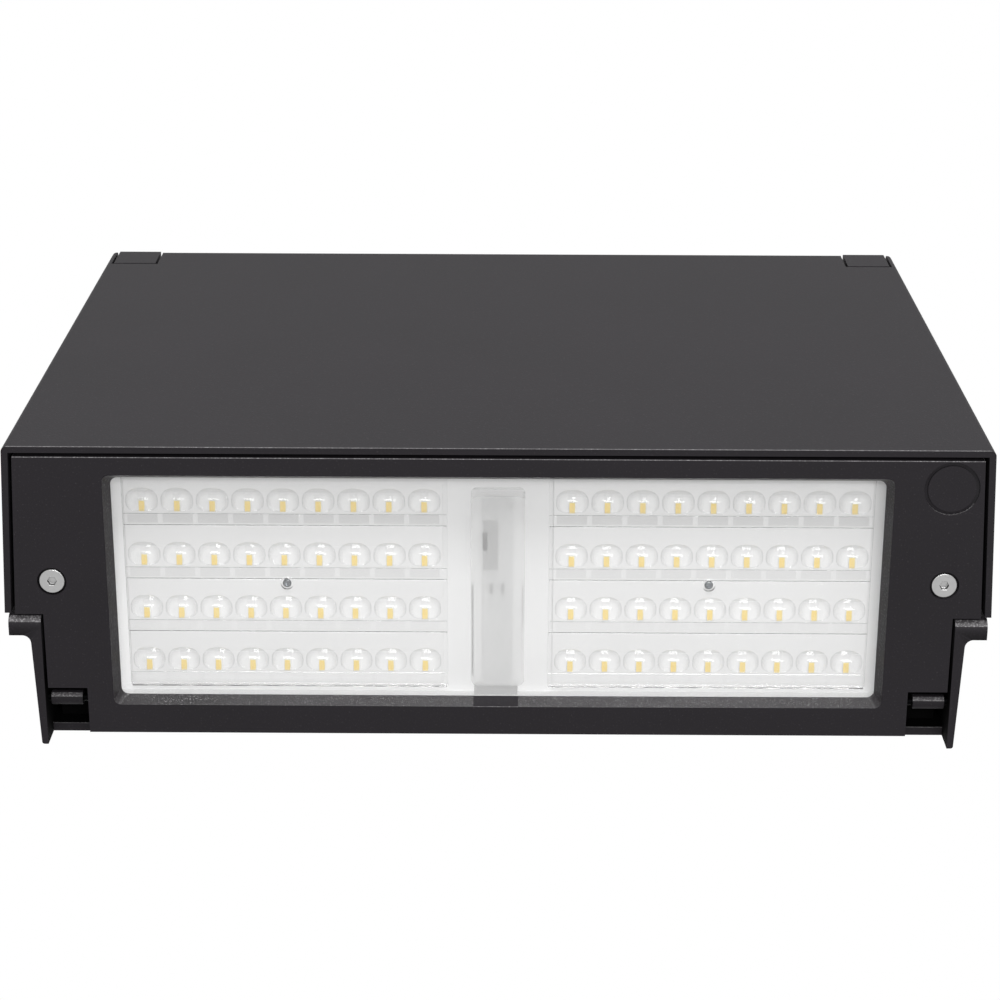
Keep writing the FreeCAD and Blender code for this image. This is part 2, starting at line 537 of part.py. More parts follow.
def side_screw(name, side, y, z):
    """a short screw through a bracket flange into the side wall"""
    low, high = mirror(side, f"{BOX_IN} - bracket_thickness - screw_head_height",
                       f"{BOX_IN} - bracket_thickness")
    head = rod(name + "_head", "bracket_screw_head", f"({high}) - ({low})", low, y, z, ALONG_X)
    low, high = mirror(side, f"{BOX_IN} - bracket_thickness - weld", f"{BOX_IN} + bracket_screw_bite")
    shank = rod(name + "_shank", "bracket_screw_shank", f"({high}) - ({low})", low, y, z, ALONG_X)
    return fuse(name, head, shank)


# ---------------------------------------------------------------- electrical parts
def plate_screw(name, x, seat, z):
    """a pan screw along Y with its head's underside at the seat depth"""
    head = rod(name + "_head", "screw_head", "screw_head_height", x,
               back(f"{seat} - screw_head_height"), z, ALONG_Y)
    shank = rod(name + "_shank", "screw_shank", "screw_bite + weld", x, back(f"{seat} - weld"), z,
                ALONG_Y)
    return fuse(name, head, shank)


def make_tray():
    """folded sheet tray on four standoffs, sketched from the side and padded across"""
    front = f"{PLATE_FRONT} - tray_standoff - tray_thickness"
    body = doc.addObject("PartDesign::Body", "tray_body")
    low, high = up(TRAY_RISE), up(f"{TRAY_RISE} + tray_height")
    near, deep = back(f"{front} - tray_flange"), back(f"{PLATE_FRONT} - tray_standoff")
    fold = back(front)
    sketch = outline(body, "tray_section", "YZ_Plane",
                     [(deep, low), (deep, high), (near, high), (near, f"{high} - tray_thickness"),
                      (fold, f"{high} - tray_thickness"), (fold, f"{low} + tray_thickness"),
                      (near, f"{low} + tray_thickness"), (near, low)])
    across = pad(body, "tray_pad", sketch, "tray_width")
    across.Midplane = True
    clear, screws = [], []
    for i, (x, rise) in enumerate(tray_corners()):
        clear.append(rod(f"tray_clear_{i}", "screw_shank + seat_gap", "tray_thickness + 2*overrun", x,
                         back(f"{front} - overrun"), up(rise), ALONG_Y))
        screws.append(plate_screw(f"tray_screw_{i}", x, front, up(rise)))
    for side in (-1, 1):
        clear.append(rod(f"tray_driver_clear_{side + 1}", "screw_shank + seat_gap",
                         "tray_thickness + 2*overrun", driver_screw_x(side), back(f"{front} - overrun"),
                         up(f"{DRIVER_RISE} + driver_width/2"), ALONG_Y))
    node(cut("tray", body, *clear), "driver_tray")
    node(group("tray_screw_set", screws), "tray_screws")


def driver_screw_x(side):
    return f"{side}*(driver_length/2 - driver_foot/2)"


def make_driver():
    """potted LED driver: a closed case with a foot and a screw at each end"""
    seat = f"{PLATE_FRONT} - tray_standoff - tray_thickness"
    zs = (up(DRIVER_RISE), up(f"{DRIVER_RISE} + driver_width"))
    case = block("driver_case", ("driver_foot - driver_length/2", "driver_length/2 - driver_foot"),
                 (back(f"{seat} - driver_depth"), back(seat)), zs)
    foot = block("driver_feet", ("-driver_length/2", "driver_length/2"),
                 (back(f"{seat} - driver_foot_thickness"), back(seat)), zs)
    clear, screws = [], []
    for side in (-1, 1):
        z = up(f"{DRIVER_RISE} + driver_width/2")
        clear.append(rod(f"driver_clear_{side + 1}", "screw_shank + seat_gap",
                         "driver_foot_thickness + 2*overrun", driver_screw_x(side),
                         back(f"{seat} - driver_foot_thickness - overrun"), z, ALONG_Y))
        screws.append(plate_screw(f"driver_screw_{side + 1}", driver_screw_x(side),
                                  f"{seat} - driver_foot_thickness", z))
    node(cut("driver", fuse("driver_blank", case, foot), *clear), "led_driver")
    node(group("driver_screw_set", screws), "driver_screws")


def make_small_electrics():
    """surge protector, mains terminals and the earth screw on the back plate"""
    node(block("surge", ("surge_x", "surge_x + surge_width"),
               (back(f"{PLATE_FRONT} - surge_depth"), back(PLATE_FRONT)),
               (up("surge_rise"), up("surge_rise + surge_height"))), "surge_protector")
    body = block("terminal_body", ("terminal_x", "terminal_x + terminal_width"),
                 (back(f"{PLATE_FRONT} - terminal_depth"), back(PLATE_FRONT)),
                 (up("terminal_foot_height"), up("terminal_foot_height + terminal_height")))
    wells = []
    for i in range(int(size("terminal_count"))):
        x = f"terminal_x + terminal_width*(2*{i} + 1)/(2*terminal_count)"
        wells.append(rod(f"terminal_well_{i}", "terminal_well", "terminal_depth/2 + overrun", x,
                         back(f"{PLATE_FRONT} - terminal_depth - overrun"),
                         up("terminal_foot_height + terminal_height/2"), ALONG_Y))
    node(cut("terminals", body, *wells), "terminal_block")
    node(plate_screw("ground", "ground_x", f"{PLATE_FRONT} - screw_bite", up("ground_height")),
         "ground_screw")


# ---------------------------------------------------------------- lens door
def door_edge(depth):
    """half width of the door frame at a depth, parallel to the hood's skirt"""
    return f"({HALF} - hood_wall - door_gap + skirt_flare*({depth})/skirt_depth)"


def make_door_frame():
    """cast frame: outline padded to the rim height, hollowed, then windowed"""
    step = f"{LIP_FRONT} - door_step_gap"
    front = "hood_wall + door_gap"
    arm = f"{BOX_IN} - door_arm_gap"
    corners = [(door_edge(front), front), (door_edge(step), step), (arm, step),
               (arm, NOTCH_FRONT), (NOTCH, NOTCH_FRONT), (NOTCH, "overall_depth - door_back_gap")]
    right = [(x, back(v)) for x, v in corners]
    left = [(f"-({x})", y) for x, y in reversed(right)]
    body = doc.addObject("PartDesign::Body", "door_frame_body")
    sketch = outline(body, "door_outline", "XY_Plane", right + left, up("0"))
    pad(body, "door_pad", sketch, "door_rim_height")
    wall = block("chamber_block", (f"-({CHAMBER} + chamber_wall)", f"{CHAMBER} + chamber_wall"),
                 (back(f"{CHAMBER_FRONT} - chamber_front_wall"), back(f"{CHAMBER_REAR} + chamber_wall")),
                 (up("door_plate - weld"), up("chamber_height")))
    chamber = block("chamber", (f"-({CHAMBER})", CHAMBER), (back(CHAMBER_FRONT), back(CHAMBER_REAR)),
                    (up("door_plate"), up("chamber_height + overrun")))
    cuts = [chamber, window_cut(), badge_ring()]
    for side, tag in ((1, "right"), (-1, "left")):
        cuts += door_pockets(side, tag, step)
        low, high = mirror(side, f"{NOTCH} - pin_depth - fit_gap", f"{NOTCH} + overrun")
        cuts.append(rod(f"door_bore_{tag}", "door_pin_radius + running_gap", f"({high}) - ({low})",
                        low, *DOOR_AXIS, ALONG_X))
        x, y = f"{side}*{CAPTIVE_X}", back("captive_setback")
        cuts.append(rod(f"captive_clear_{tag}", "captive_hole", "door_plate + 2*overrun", x, y,
                        up("-overrun")))
        cuts.append(rod(f"captive_recess_{tag}", "captive_recess",
                        "captive_sink + captive_head_height + seat_gap + overrun", x, y, up("-overrun")))
        for i, setback in enumerate(sink_screw_setbacks()):
            cuts.append(rod(f"sink_screw_hole_{tag}_{i}", "board_screw_shank + seat_gap",
                            "screw_bite + overrun", f"{side}*({CHAMBER} + chamber_wall/2)", back(setback),
                            up("chamber_height - screw_bite")))
    node(cut("door_frame", fuse("door_blank", body, wall), *cuts), "door_frame")


def door_pockets(side, tag, step):
    """hollows behind the wide sides of the frame"""
    inner = f"{CHAMBER} + chamber_wall + door_rim"
    zs = (up("door_plate"), up("door_rim_height + overrun"))
    wide = block(f"door_pocket_{tag}",
                 mirror(side, inner, f"{door_edge('hood_wall + door_gap')} - door_rim"),
                 (back("hood_wall + door_gap + door_rim"), back(f"{step} - door_rim")), zs)
    narrow = block(f"door_pocket_rear_{tag}",
                   mirror(side, inner, f"{BOX_IN} - door_arm_gap - door_rim"),
                   (back(f"{step} - door_rim - overrun"), back(f"{NOTCH_FRONT} - door_rim")), zs)
    return [wide, narrow]


def window_cut():
    """bevelled window with rounded corners"""
    far = f"{WINDOW_HALF} - bevel"
    front, rear = "overall_depth - window_front", "window_back"
    tool = frustum("window_taper", (f"-{WINDOW_HALF}", WINDOW_HALF, rear, front, "0"),
                   (f"-({far})", far, f"{rear} + bevel", f"{front} - bevel", "door_plate"),
                   "0", up("0"), FreeCAD.Rotation(FreeCAD.Vector(1, 0, 0), 90))
    return rounded("window", tool, "window_corner", leans)


def badge_ring():
    """plain ring groove of the round pad beside the window"""
    x, y = f"{HALF} - badge_inset", back("badge_setback")
    outer = rod("badge_outer", "badge_radius", "badge_groove_depth + overrun", x, y, up("-overrun"))
    inner = rod("badge_inner", "badge_radius - badge_groove", "badge_groove_depth + 3*overrun", x, y,
                up("-2*overrun"))
    return cut("badge", outer, inner)


def sink_screw_setbacks():
    return ("window_front + sink_screw_inset", f"{WINDOW_REAR} - sink_screw_inset")


def make_lens():
    """glass pane and its silicone gasket in the door frame's chamber"""
    xs, ys = (f"-({LENS})", LENS), (back(LENS_FRONT), back(LENS_REAR))
    ring = block("lens_seal_block", xs, ys, (up("door_plate"), up(LENS_LOW)))
    half = f"{WINDOW_HALF} - bevel + lens_seal_setback"
    hole = block("lens_seal_hole", (f"-({half})", half),
                 (back("window_front + bevel - lens_seal_setback"),
                  back(f"{WINDOW_REAR} - bevel + lens_seal_setback")),
                 (up("door_plate - overrun"), up(f"{LENS_LOW} + overrun")))
    node(cut("lens_seal", ring, hole), "lens_gasket")
    node(block("lens", xs, ys, (up(LENS_LOW), up(LENS_HIGH))), "lens_glass")


def screw_through(name, low, high):
    """clearance holes for the board screws over a height span"""
    return [rod(f"{name}_{side + 1}", "board_screw_shank + seat_gap", f"({high}) - ({low})",
                f"{side}*{BOARD_SCREW_X}", back(BOARD_SCREW_BACK), up(low)) for side in (-1, 1)]


def make_pan():
    """white pan behind the glass that carries the boards"""
    xs, ys = (f"-({LENS})", LENS), (back(LENS_FRONT), back(LENS_REAR))
    outer = block("pan_block", xs, ys, (up(LENS_HIGH), up("chamber_height")))
    inner = block("pan_hollow", (f"-({LENS}) + pan_wall", f"{LENS} - pan_wall"),
                  (back(f"{LENS_FRONT} + pan_wall"), back(f"{LENS_REAR} - pan_wall")),
                  (up(f"{LENS_HIGH} - overrun"), up("chamber_height - pan_floor")))
    node(cut("pan", outer, inner, *screw_through("pan_screw", "chamber_height - pan_floor - overrun",
                                                 "chamber_height + overrun")), "led_pan")


def make_heat_sink():
    """extruded sink: a base plate and a linear pattern of fins"""
    body = doc.addObject("PartDesign::Body", "sink_body")
    wide = f"{CHAMBER} + chamber_wall"
    front = back(f"{CHAMBER_FRONT} - chamber_front_wall")
    rear = back(f"{CHAMBER_REAR} + chamber_wall")
    base = outline(body, "sink_outline", "XY_Plane",
                   [(f"-({wide})", front), (wide, front), (wide, rear), (f"-({wide})", rear)],
                   up("chamber_height"))
    pad(body, "sink_base_pad", base, "sink_base")
    start = f"fin_margin - ({wide}) - fin_thickness/2"
    fin_ys = (back(f"{CHAMBER_FRONT} + fin_inset"), back(f"{CHAMBER_REAR} - fin_inset"))
    fin = outline(body, "sink_fin_outline", "XY_Plane",
                  [(start, fin_ys[0]), (f"{start} + fin_thickness", fin_ys[0]),
                   (f"{start} + fin_thickness", fin_ys[1]), (start, fin_ys[1])],
                  up("chamber_height + sink_base - weld"))
    fin_pad = pad(body, "sink_fin_pad", fin, "fin_height + weld")
    doc.recompute()
    row = body.newObject("PartDesign::LinearPattern", "sink_fins")
    row.Originals = [fin_pad]
    row.Direction = (origin_plane(body, "X_Axis"), [""])
    bind(row, "Length", f"2*({wide} - fin_margin)")
    bind(row, "Occurrences", "fin_count")
    body.Tip = row
    holes = screw_through("sink_screw", "chamber_height - overrun", "chamber_height + board_screw_bite")
    screws = []
    for side in (-1, 1):
        for i, setback in enumerate(sink_screw_setbacks()):
            x, y = f"{side}*({CHAMBER} + chamber_wall/2)", back(setback)
            holes.append(rod(f"sink_clear_{side + 1}_{i}", "board_screw_shank + seat_gap",
                             "sink_base + 2*overrun", x, y, up("chamber_height - overrun")))
            shank = rod(f"sink_shank_{side + 1}_{i}", "board_screw_shank",
                        "sink_base + screw_bite - fit_gap", x, y,
                        up("chamber_height - screw_bite + fit_gap"))
            head = rod(f"sink_head_{side + 1}_{i}", "board_screw_head", "board_screw_lift", x, y,
                       up("chamber_height + sink_base"))
            screws.append(fuse(f"sink_bolt_{side + 1}_{i}", shank, head))
    node(cut("sink", body, *holes), "heat_sink")
    node(group("sink_screw_set", screws), "heat_sink_screws")


def led_places(side):
    """(x, y) formulas of one board's LEDs, row by row"""
    rows, columns = int(size("led_rows")), int(size("led_columns"))
    return [(f"{side}*(led_first_column + {c}*{LED_PITCH})", back(f"led_first_row + {r}*{LED_ROW_PITCH}"))
            for r in range(rows) for c in range(columns)]


def make_boards():
    """two boards with their LEDs and a moulded optic plate over each"""
    for side, tag in ((1, "right"), (-1, "left")):
        xs = mirror(side, BOARD_IN, BOARD_OUT)
        ys = (back("board_front"), back(f"{WINDOW_REAR} - board_back"))
        high = f"{BOARD_LOW} + board_thickness"
        blank = block(f"board_blank_{tag}", xs, ys, (up(BOARD_LOW), up(high)))
        hole = rod(f"board_hole_{tag}", "board_screw_shank + seat_gap", "board_thickness + 2*overrun",
                   f"{side}*{BOARD_SCREW_X}", back(BOARD_SCREW_BACK), up(f"{BOARD_LOW} - overrun"))
        node(cut(f"board_{tag}", blank, hole), f"led_board_{tag}")
        leds, domes, pockets = [], [], []
        for i, (x, y) in enumerate(led_places(side)):
            leds.append(square(f"led_{tag}_{i}", x, y, "led_size", f"{BOARD_LOW} - led_height",
                               "led_height"))
            pockets.append(square(f"pocket_{tag}_{i}", x, y, "led_pocket",
                                  f"{BOARD_LOW} - led_pocket_depth", "led_pocket_depth + overrun"))
            domes.append(dome(f"dome_{tag}_{i}", x, y))
        node(group(f"leds_{tag}", leds), f"led_chips_{tag}")
        make_optic(side, tag, xs, ys, domes, pockets)


def square(name, x, y, width, low, height):
    """a small square block centred on a place"""
    return block(name, (f"{x} - {width}/2", f"{x} + {width}/2"),
                 (f"{y} - {width}/2", f"{y} + {width}/2"), (up(low), up(f"{low} + {height}")))


def dome(name, x, y):
    """one lens: half an ellipsoid, cut flat on its wall side"""
    egg = doc.addObject("Part::Ellipsoid", name + "_egg")
    bind(egg, "Radius1", "dome_height")
    bind(egg, "Radius2", "dome_width/2")
    bind(egg, "Radius3", "dome_length/2")
    egg.Angle2 = 0
    place(egg, x, f"{y} - dome_setback", up(f"{BOARD_LOW} - optic_plate"))
    slab = block(name + "_slab", (f"{x} - dome_width", f"{x} + dome_width"),
                 (f"{y} + dome_flat", f"{y} + dome_length"),
                 (up(f"{BOARD_LOW} - optic_plate - dome_height - overrun"),
                  up(f"{BOARD_LOW} - optic_plate + overrun")))
    return cut(name, egg, slab)


def make_optic(side, tag, xs, ys, domes, pockets):
    plate = block(f"optic_sheet_{tag}", xs, ys, (up(f"{BOARD_LOW} - optic_plate"), up(BOARD_LOW)))
    bars = []
    for r in range(int(size("led_rows"))):
        y = back(f"led_first_row + {r}*{LED_ROW_PITCH} + bar_offset")
        bars.append(block(f"optic_bar_{tag}_{r}", xs, (y, f"{y} + bar_length"),
                          (up(f"{BOARD_LOW} - optic_plate - bar_height"), up(f"{BOARD_LOW} - weld"))))
    x, y = f"{side}*{BOARD_SCREW_X}", back(BOARD_SCREW_BACK)
    hole = rod(f"optic_hole_{tag}", "board_screw_shank + seat_gap", "optic_plate + 2*overrun", x, y,
               up(f"{BOARD_LOW} - optic_plate - overrun"))
    seat = rod(f"optic_seat_{tag}", "board_screw_head + fit_gap", "bar_height + overrun", x, y,
               up(f"{BOARD_LOW} - optic_plate - bar_height - overrun"))
    moulding = fuse(f"optic_blank_{tag}", plate, *domes, *bars)
    node(cut(f"optic_{tag}", moulding, group(f"pockets_{tag}", pockets), hole, seat),
         f"optic_plate_{tag}")


def make_wire_cover():
    """frosted cover over the board connectors in the middle of the window"""
    floor = "chamber_height - pan_floor"
    rear = f"{WINDOW_REAR} - cover_back"
    outer = block("cover_outer", ("-cover_width/2", "cover_width/2"), (back("cover_front"), back(rear)),
                  (up(f"{floor} - cover_height"), up(floor)))
    soft = rounded("cover_soft", outer, "cover_corner", leans)
    inner = block("cover_hollow", ("cover_wall - cover_width/2", "cover_width/2 - cover_wall"),
                  (back("cover_front + cover_wall"), back(f"{rear} - cover_wall")),
                  (up(f"{floor} - cover_height + cover_wall"), up(f"{floor} + overrun")))
    node(cut("cover", soft, inner), "wire_cover")
    node(block("connector", ("-connector_width", "0"),
               (back("connector_front"), back("connector_front + connector_length")),
               (up(f"{floor} - connector_height"), up(floor))), "board_connector")
    screws = []
    for side in (-1, 1):
        x, y = f"{side}*{BOARD_SCREW_X}", back(BOARD_SCREW_BACK)
        head = rod(f"board_head_{side + 1}", "board_screw_head", "board_screw_lift", x, y,
                   up(f"{BOARD_LOW} - optic_plate - board_screw_lift"))
        shank = rod(f"board_shank_{side + 1}", "board_screw_shank",
                    "weld + optic_plate + board_thickness + board_screw_bite", x, y,
                    up(f"{BOARD_LOW} - optic_plate - weld"))
        screws.append(fuse(f"board_bolt_{side + 1}", head, shank))
    node(group("board_screw_set", screws), "board_screws")


# ---------------------------------------------------------------- captive screws
def make_captive_screws():
    """turned screws that stay in the door, each with a retaining ring"""
    for side, tag in ((1, "right"), (-1, "left")):
        x, y = f"{side}*{CAPTIVE_X}", back("captive_setback")
        seat = "captive_sink + captive_head_height"
        head = rod(f"captive_head_{tag}", "captive_head", "captive_head_height", x, y, up("captive_sink"))
        shank = rod(f"captive_shank_{tag}", "captive_shank", "captive_length - captive_tip + weld", x, y,
                    up(f"{seat} - weld"))
        tip = doc.addObject("Part::Cone", f"captive_tip_{tag}")
        bind(tip, "Radius1", "captive_shank")
        bind(tip, "Radius2", "captive_shank/2")
        bind(tip, "Height", "captive_tip")
        place(tip, x, y, up(f"{seat} + captive_length - captive_tip"))
        socket = doc.addObject("Part::Prism", f"captive_socket_{tag}")
        socket.Polygon = 6
        bind(socket, "Circumradius", "captive_socket")
        bind(socket, "Height", "captive_socket_depth + overrun")
        place(socket, x, y, up("captive_sink - overrun"))
        node(cut(f"captive_{tag}", fuse(f"captive_blank_{tag}", head, shank, tip), socket),
             f"captive_screw_{tag}")
        low = "door_plate + captive_travel + fit_gap"
        disc = rod(f"ring_disc_{tag}", "retainer_radius", "retainer_thickness", x, y, up(low))
        hole = rod(f"ring_hole_{tag}", "captive_shank + seat_gap", "retainer_thickness + 2*overrun",
                   x, y, up(f"{low} - overrun"))
        node(cut(f"ring_{tag}", disc, hole), f"screw_retainer_{tag}")


make_hood()
make_back_box()
make_seals()
make_pins()
make_plugs()
make_brackets()
make_tray()
make_driver()
make_small_electrics()
make_door_frame()
make_lens()
make_pan()
make_heat_sink()
make_boards()
make_wire_cover()
make_captive_screws()
doc.recompute()

failed = [obj.Name for obj in doc.Objects if {"Invalid", "Error"} & set(obj.State)]
failed += [obj.Label for obj in nodes if obj.Shape.isNull() or not obj.Shape.isValid()]
if failed:
    raise SystemExit("failed objects: " + ", ".join(failed))
os.makedirs("parts", exist_ok=True)
for obj in nodes:
    obj.Shape.exportStep(f"parts/{obj.Label}.step")
    box = obj.Shape.BoundBox
    print(f"{obj.Label:24s} solids {len(obj.Shape.Solids):2d} volume {obj.Shape.Volume / 1000:9.2f} cm3  "
          f"x {box.XMin:7.1f} {box.XMax:7.1f}  y {box.YMin:7.1f} {box.YMax:7.1f}  "
          f"z {box.ZMin:7.1f} {box.ZMax:7.1f}")
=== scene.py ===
"""Large full cut-off LED wall pack, seen from below and in front, dressed for Blender 4.5.

Metres, in the row frame: the wall is the plane Y = 0, -Y points out of it, +Z is up and
the origin lies at mid height. The window with the LEDs is in the bottom face.
"""
import math

import bmesh
import bpy
from mathutils import Matrix, Vector


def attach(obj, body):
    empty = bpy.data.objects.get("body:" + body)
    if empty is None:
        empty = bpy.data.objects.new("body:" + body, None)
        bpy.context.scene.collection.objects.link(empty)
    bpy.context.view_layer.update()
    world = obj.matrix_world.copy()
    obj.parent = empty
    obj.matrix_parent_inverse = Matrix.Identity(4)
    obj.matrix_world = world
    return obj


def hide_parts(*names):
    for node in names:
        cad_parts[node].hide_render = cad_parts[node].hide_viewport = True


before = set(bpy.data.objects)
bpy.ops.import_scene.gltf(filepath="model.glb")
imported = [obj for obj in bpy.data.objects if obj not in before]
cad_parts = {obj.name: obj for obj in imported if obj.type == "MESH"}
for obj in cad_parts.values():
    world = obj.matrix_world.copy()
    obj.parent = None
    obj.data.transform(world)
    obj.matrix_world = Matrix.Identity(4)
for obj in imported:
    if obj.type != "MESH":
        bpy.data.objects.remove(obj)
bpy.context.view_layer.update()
MM = 0.001

# ------------------------------------------------------------------ camera and room
# The photograph looks up at the bottom face from 1.2 m below it and half a metre in front,
# through a long lens. The room is a pale floor far below, two softboxes and a white surround.
lens = bpy.data.cameras.new("camera")
lens.lens = 89.1
lens.sensor_width = 36.0
camera = bpy.data.objects.new("camera", lens)
camera.location = (5.4 * MM, -533.4 * MM, -1239.9 * MM)
camera.rotation_euler = (2.77790806, -0.00541071, -0.003191)
bpy.context.scene.collection.objects.link(camera)
bpy.context.scene.camera = camera
bpy.context.scene.view_settings.view_transform = "Standard"


def linear(colour):
    """an sRGB hex colour as the linear values that a shader takes"""
    channels = [int(colour[i:i + 2], 16) / 255 for i in (1, 3, 5)]
    return [c / 12.92 if c <= 0.04045 else ((c + 0.055) / 1.055) ** 2.4 for c in channels] + [1.0]


def add(tree, kind, links=None, **settings):
    """add one node, with its settings and with its inputs linked or filled in"""
    node = tree.nodes.new(kind)
    for name, value in settings.items():
        setattr(node, name, value)
    for name, value in (links or {}).items():
        if isinstance(value, bpy.types.NodeSocket):
            tree.links.new(value, node.inputs[name])
        else:
            node.inputs[name].default_value = value
    return node


def finish_of(name, dark, light, patch, **sockets):
    """a material whose tone drifts between two sRGB colours in patches of a size in mm"""
    material = bpy.data.materials.new(name)
    material.use_nodes = True
    tree = material.node_tree
    shader = tree.nodes["Principled BSDF"]
    for socket, value in sockets.items():
        shader.inputs[socket.replace("_", " ")].default_value = value
    where = add(tree, "ShaderNodeTexCoord").outputs["Object"]
    drift = add(tree, "ShaderNodeTexNoise", {"Vector": where, "Scale": 1 / (patch * MM), "Detail": 3.0})
    tone = add(tree, "ShaderNodeMix", {0: drift.outputs["Fac"], 6: linear(dark), 7: linear(light)},
               data_type="RGBA")
    tree.links.new(tone.outputs[2], shader.inputs["Base Color"])
    return material


# The surround lights the object less brightly than it looks to the camera, in metal and in glass.
SURROUND_LIGHT, SURROUND_SEEN = 0.6, 1.0
world = bpy.data.worlds.new("white surround")
world.use_nodes = True
surround = world.node_tree
surround.nodes.clear()
ray = add(surround, "ShaderNodeLightPath")
seen = add(surround, "ShaderNodeMath", {0: ray.outputs["Is Camera Ray"],
                                        1: ray.outputs["Is Glossy Ray"]}, operation="MAXIMUM")
seen = add(surround, "ShaderNodeMath", {0: seen.outputs[0],
                                        1: ray.outputs["Is Transmission Ray"]}, operation="MAXIMUM")
level = add(surround, "ShaderNodeMapRange", {"Value": seen.outputs[0], "To Min": SURROUND_LIGHT,
                                             "To Max": SURROUND_SEEN})
sky = add(surround, "ShaderNodeBackground", {"Color": (1, 1, 1, 1), "Strength": level.outputs[0]})
add(surround, "ShaderNodeOutputWorld", {"Surface": sky.outputs[0]})
bpy.context.scene.world = world

# Matt paint spreads the light, so that the floor is pale and even and shows no lamp.
floor_paint = finish_of("pale matt floor paint", "#dededd", "#e3e3e3", 300, Roughness=0.9,
                        Specular_IOR_Level=0.1)
FLOOR_HALF, FLOOR_Z = 6.0, -1.7
floor_mesh = bpy.data.meshes.new("floor")
floor_mesh.from_pydata([(x * FLOOR_HALF, y * FLOOR_HALF, FLOOR_Z)
                        for x, y in ((-1, -1), (1, -1), (1, 1), (-1, 1))], [], [(0, 1, 2, 3)])
floor_mesh.materials.append(floor_paint)
floor = bpy.data.objects.new("floor", floor_mesh)
bpy.context.scene.collection.objects.link(floor)


def soft_lamp(name, place, aim, width, height, brightness):
    """a softbox that points at a spot on the object and isn't seen itself"""
    lamp = bpy.data.lights.new(name, "AREA")
    lamp.shape = "RECTANGLE"
    lamp.size, lamp.size_y = width, height
    lamp.energy = brightness * math.pi * width * height
    box = bpy.data.objects.new(name, lamp)
    box.location = place
    box.rotation_euler = (Vector(aim) - Vector(place)).to_track_quat("-Z", "Y").to_euler()
    box.visible_camera = False
    bpy.context.scene.collection.objects.link(box)


soft_lamp("softbox_front", place=(0.1, -2.1, -0.95), aim=(0, -0.1, -0.1), width=0.75, height=0.75,
          brightness=14.3)
soft_lamp("softbox_below", place=(0.16, -0.68, -1.45), aim=(0, -0.08, -0.15), width=1.05, height=0.28,
          brightness=10.2)

# ------------------------------------------------------------------ back box
# The cast back box that stays on the wall: back plate, drafted walls, a lip that the hood
# closes against, two arms at the top and two hinge barrels at the bottom. Die-cast
# aluminium with a fine-grained powder coat, so its edges are soft and its sheen is dull.
WELD, FLAT_ANGLE = 0.002 * MM, math.radians(0.4)
# Which long lower edges face forward into the light and get a painted highlight.
LIT_EDGE_BELOW, LIT_EDGE_LENGTH, LIT_EDGE_BREADTH = -150 * MM, 5 * MM, 1.6 * MM
LIT_EDGE_ANGLE, LIT_EDGE_FORWARD = math.radians(32), -0.5


def welded(node):
    """a copy of a CAD node's shape with its seams welded and its flat faces whole"""
    shape = bmesh.new()
    shape.from_mesh(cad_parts[node].data)
    bmesh.ops.remove_doubles(shape, verts=shape.verts, dist=WELD)
    bmesh.ops.dissolve_limit(shape, angle_limit=FLAT_ANGLE, verts=shape.verts, edges=shape.edges,
                             delimit=set())
    for face in shape.faces:
        face.material_index = 0
    return shape


def split_at(shape, parts, place, normal):
    """cut the faces, edges and corners of a shape along a plane, and return what results"""
    return bmesh.ops.bisect_plane(shape, geom=parts, plane_co=place, plane_no=normal)["geom"]


def round_lit_edges(shape, width, finish):
    """round the long lower front edges of broad faces, in mm, with a finish as painted highlight"""
    edges = [e for e in shape.edges if len(e.link_faces) == 2 and e.is_convex
             and max(v.co.z for v in e.verts) < LIT_EDGE_BELOW
             and sum(f.normal.y for f in e.link_faces) < LIT_EDGE_FORWARD
             and e.calc_length() > LIT_EDGE_LENGTH and e.calc_face_angle() > LIT_EDGE_ANGLE
             and min(f.calc_area() for f in e.link_faces) > LIT_EDGE_BREADTH * e.calc_length()]
    bmesh.ops.bevel(shape, geom=edges, offset=width * MM, segments=2, profile=0.5, affect="EDGES",
                    clamp_overlap=False, material=finish)


def piece_of(name, shape, materials, body, slot, *nodes, edge=0.0, angle=32.0):
    """a piece from a bmesh, with softly rounded edges, on its body and instead of its CAD nodes"""
    mesh = bpy.data.meshes.new(name)
    shape.to_mesh(mesh)
    shape.free()
    mesh.shade_smooth()
    mesh.set_sharp_from_angle(angle=math.radians(angle))
    for material in materials:
        mesh.materials.append(material)
    piece = bpy.data.objects.new(name, mesh)
    bpy.context.scene.collection.objects.link(piece)
    if edge:
        bevel = piece.modifiers.new("soft_edges", "BEVEL")
        bevel.width = edge * MM
        bevel.segments = 2
        bevel.limit_method = "ANGLE"
        bevel.angle_limit = math.radians(angle)
        bevel.use_clamp_overlap = True
        bevel.harden_normals = True
    else:
        flats = piece.modifiers.new("flat_faces_stay_flat", "WEIGHTED_NORMAL")
        flats.keep_sharp = True
        flats.weight = 100
    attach(piece, body)
    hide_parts(*nodes)
    return piece


def parts_of(finish):
    """the node tree of a finish, its shader, its object coordinates and its drifting tone"""
    nodes = finish.node_tree.nodes
    return (finish.node_tree, nodes["Principled BSDF"], nodes["Texture Coordinate"].outputs["Object"],
            nodes["Mix"].outputs[2])


# The grain of 0.9 mm is coarser than the real powder, so that it shows in the render. Specks
# show where its noise rises above SPECK_START less their share, in full above SPECK_FULL.
GRAIN, SPECK_START, SPECK_FULL, SPECK_COVER = 0.9, 0.72, 0.85, 0.5
SHADE_SHEEN, COAT_SHEEN = 0.05, 0.31


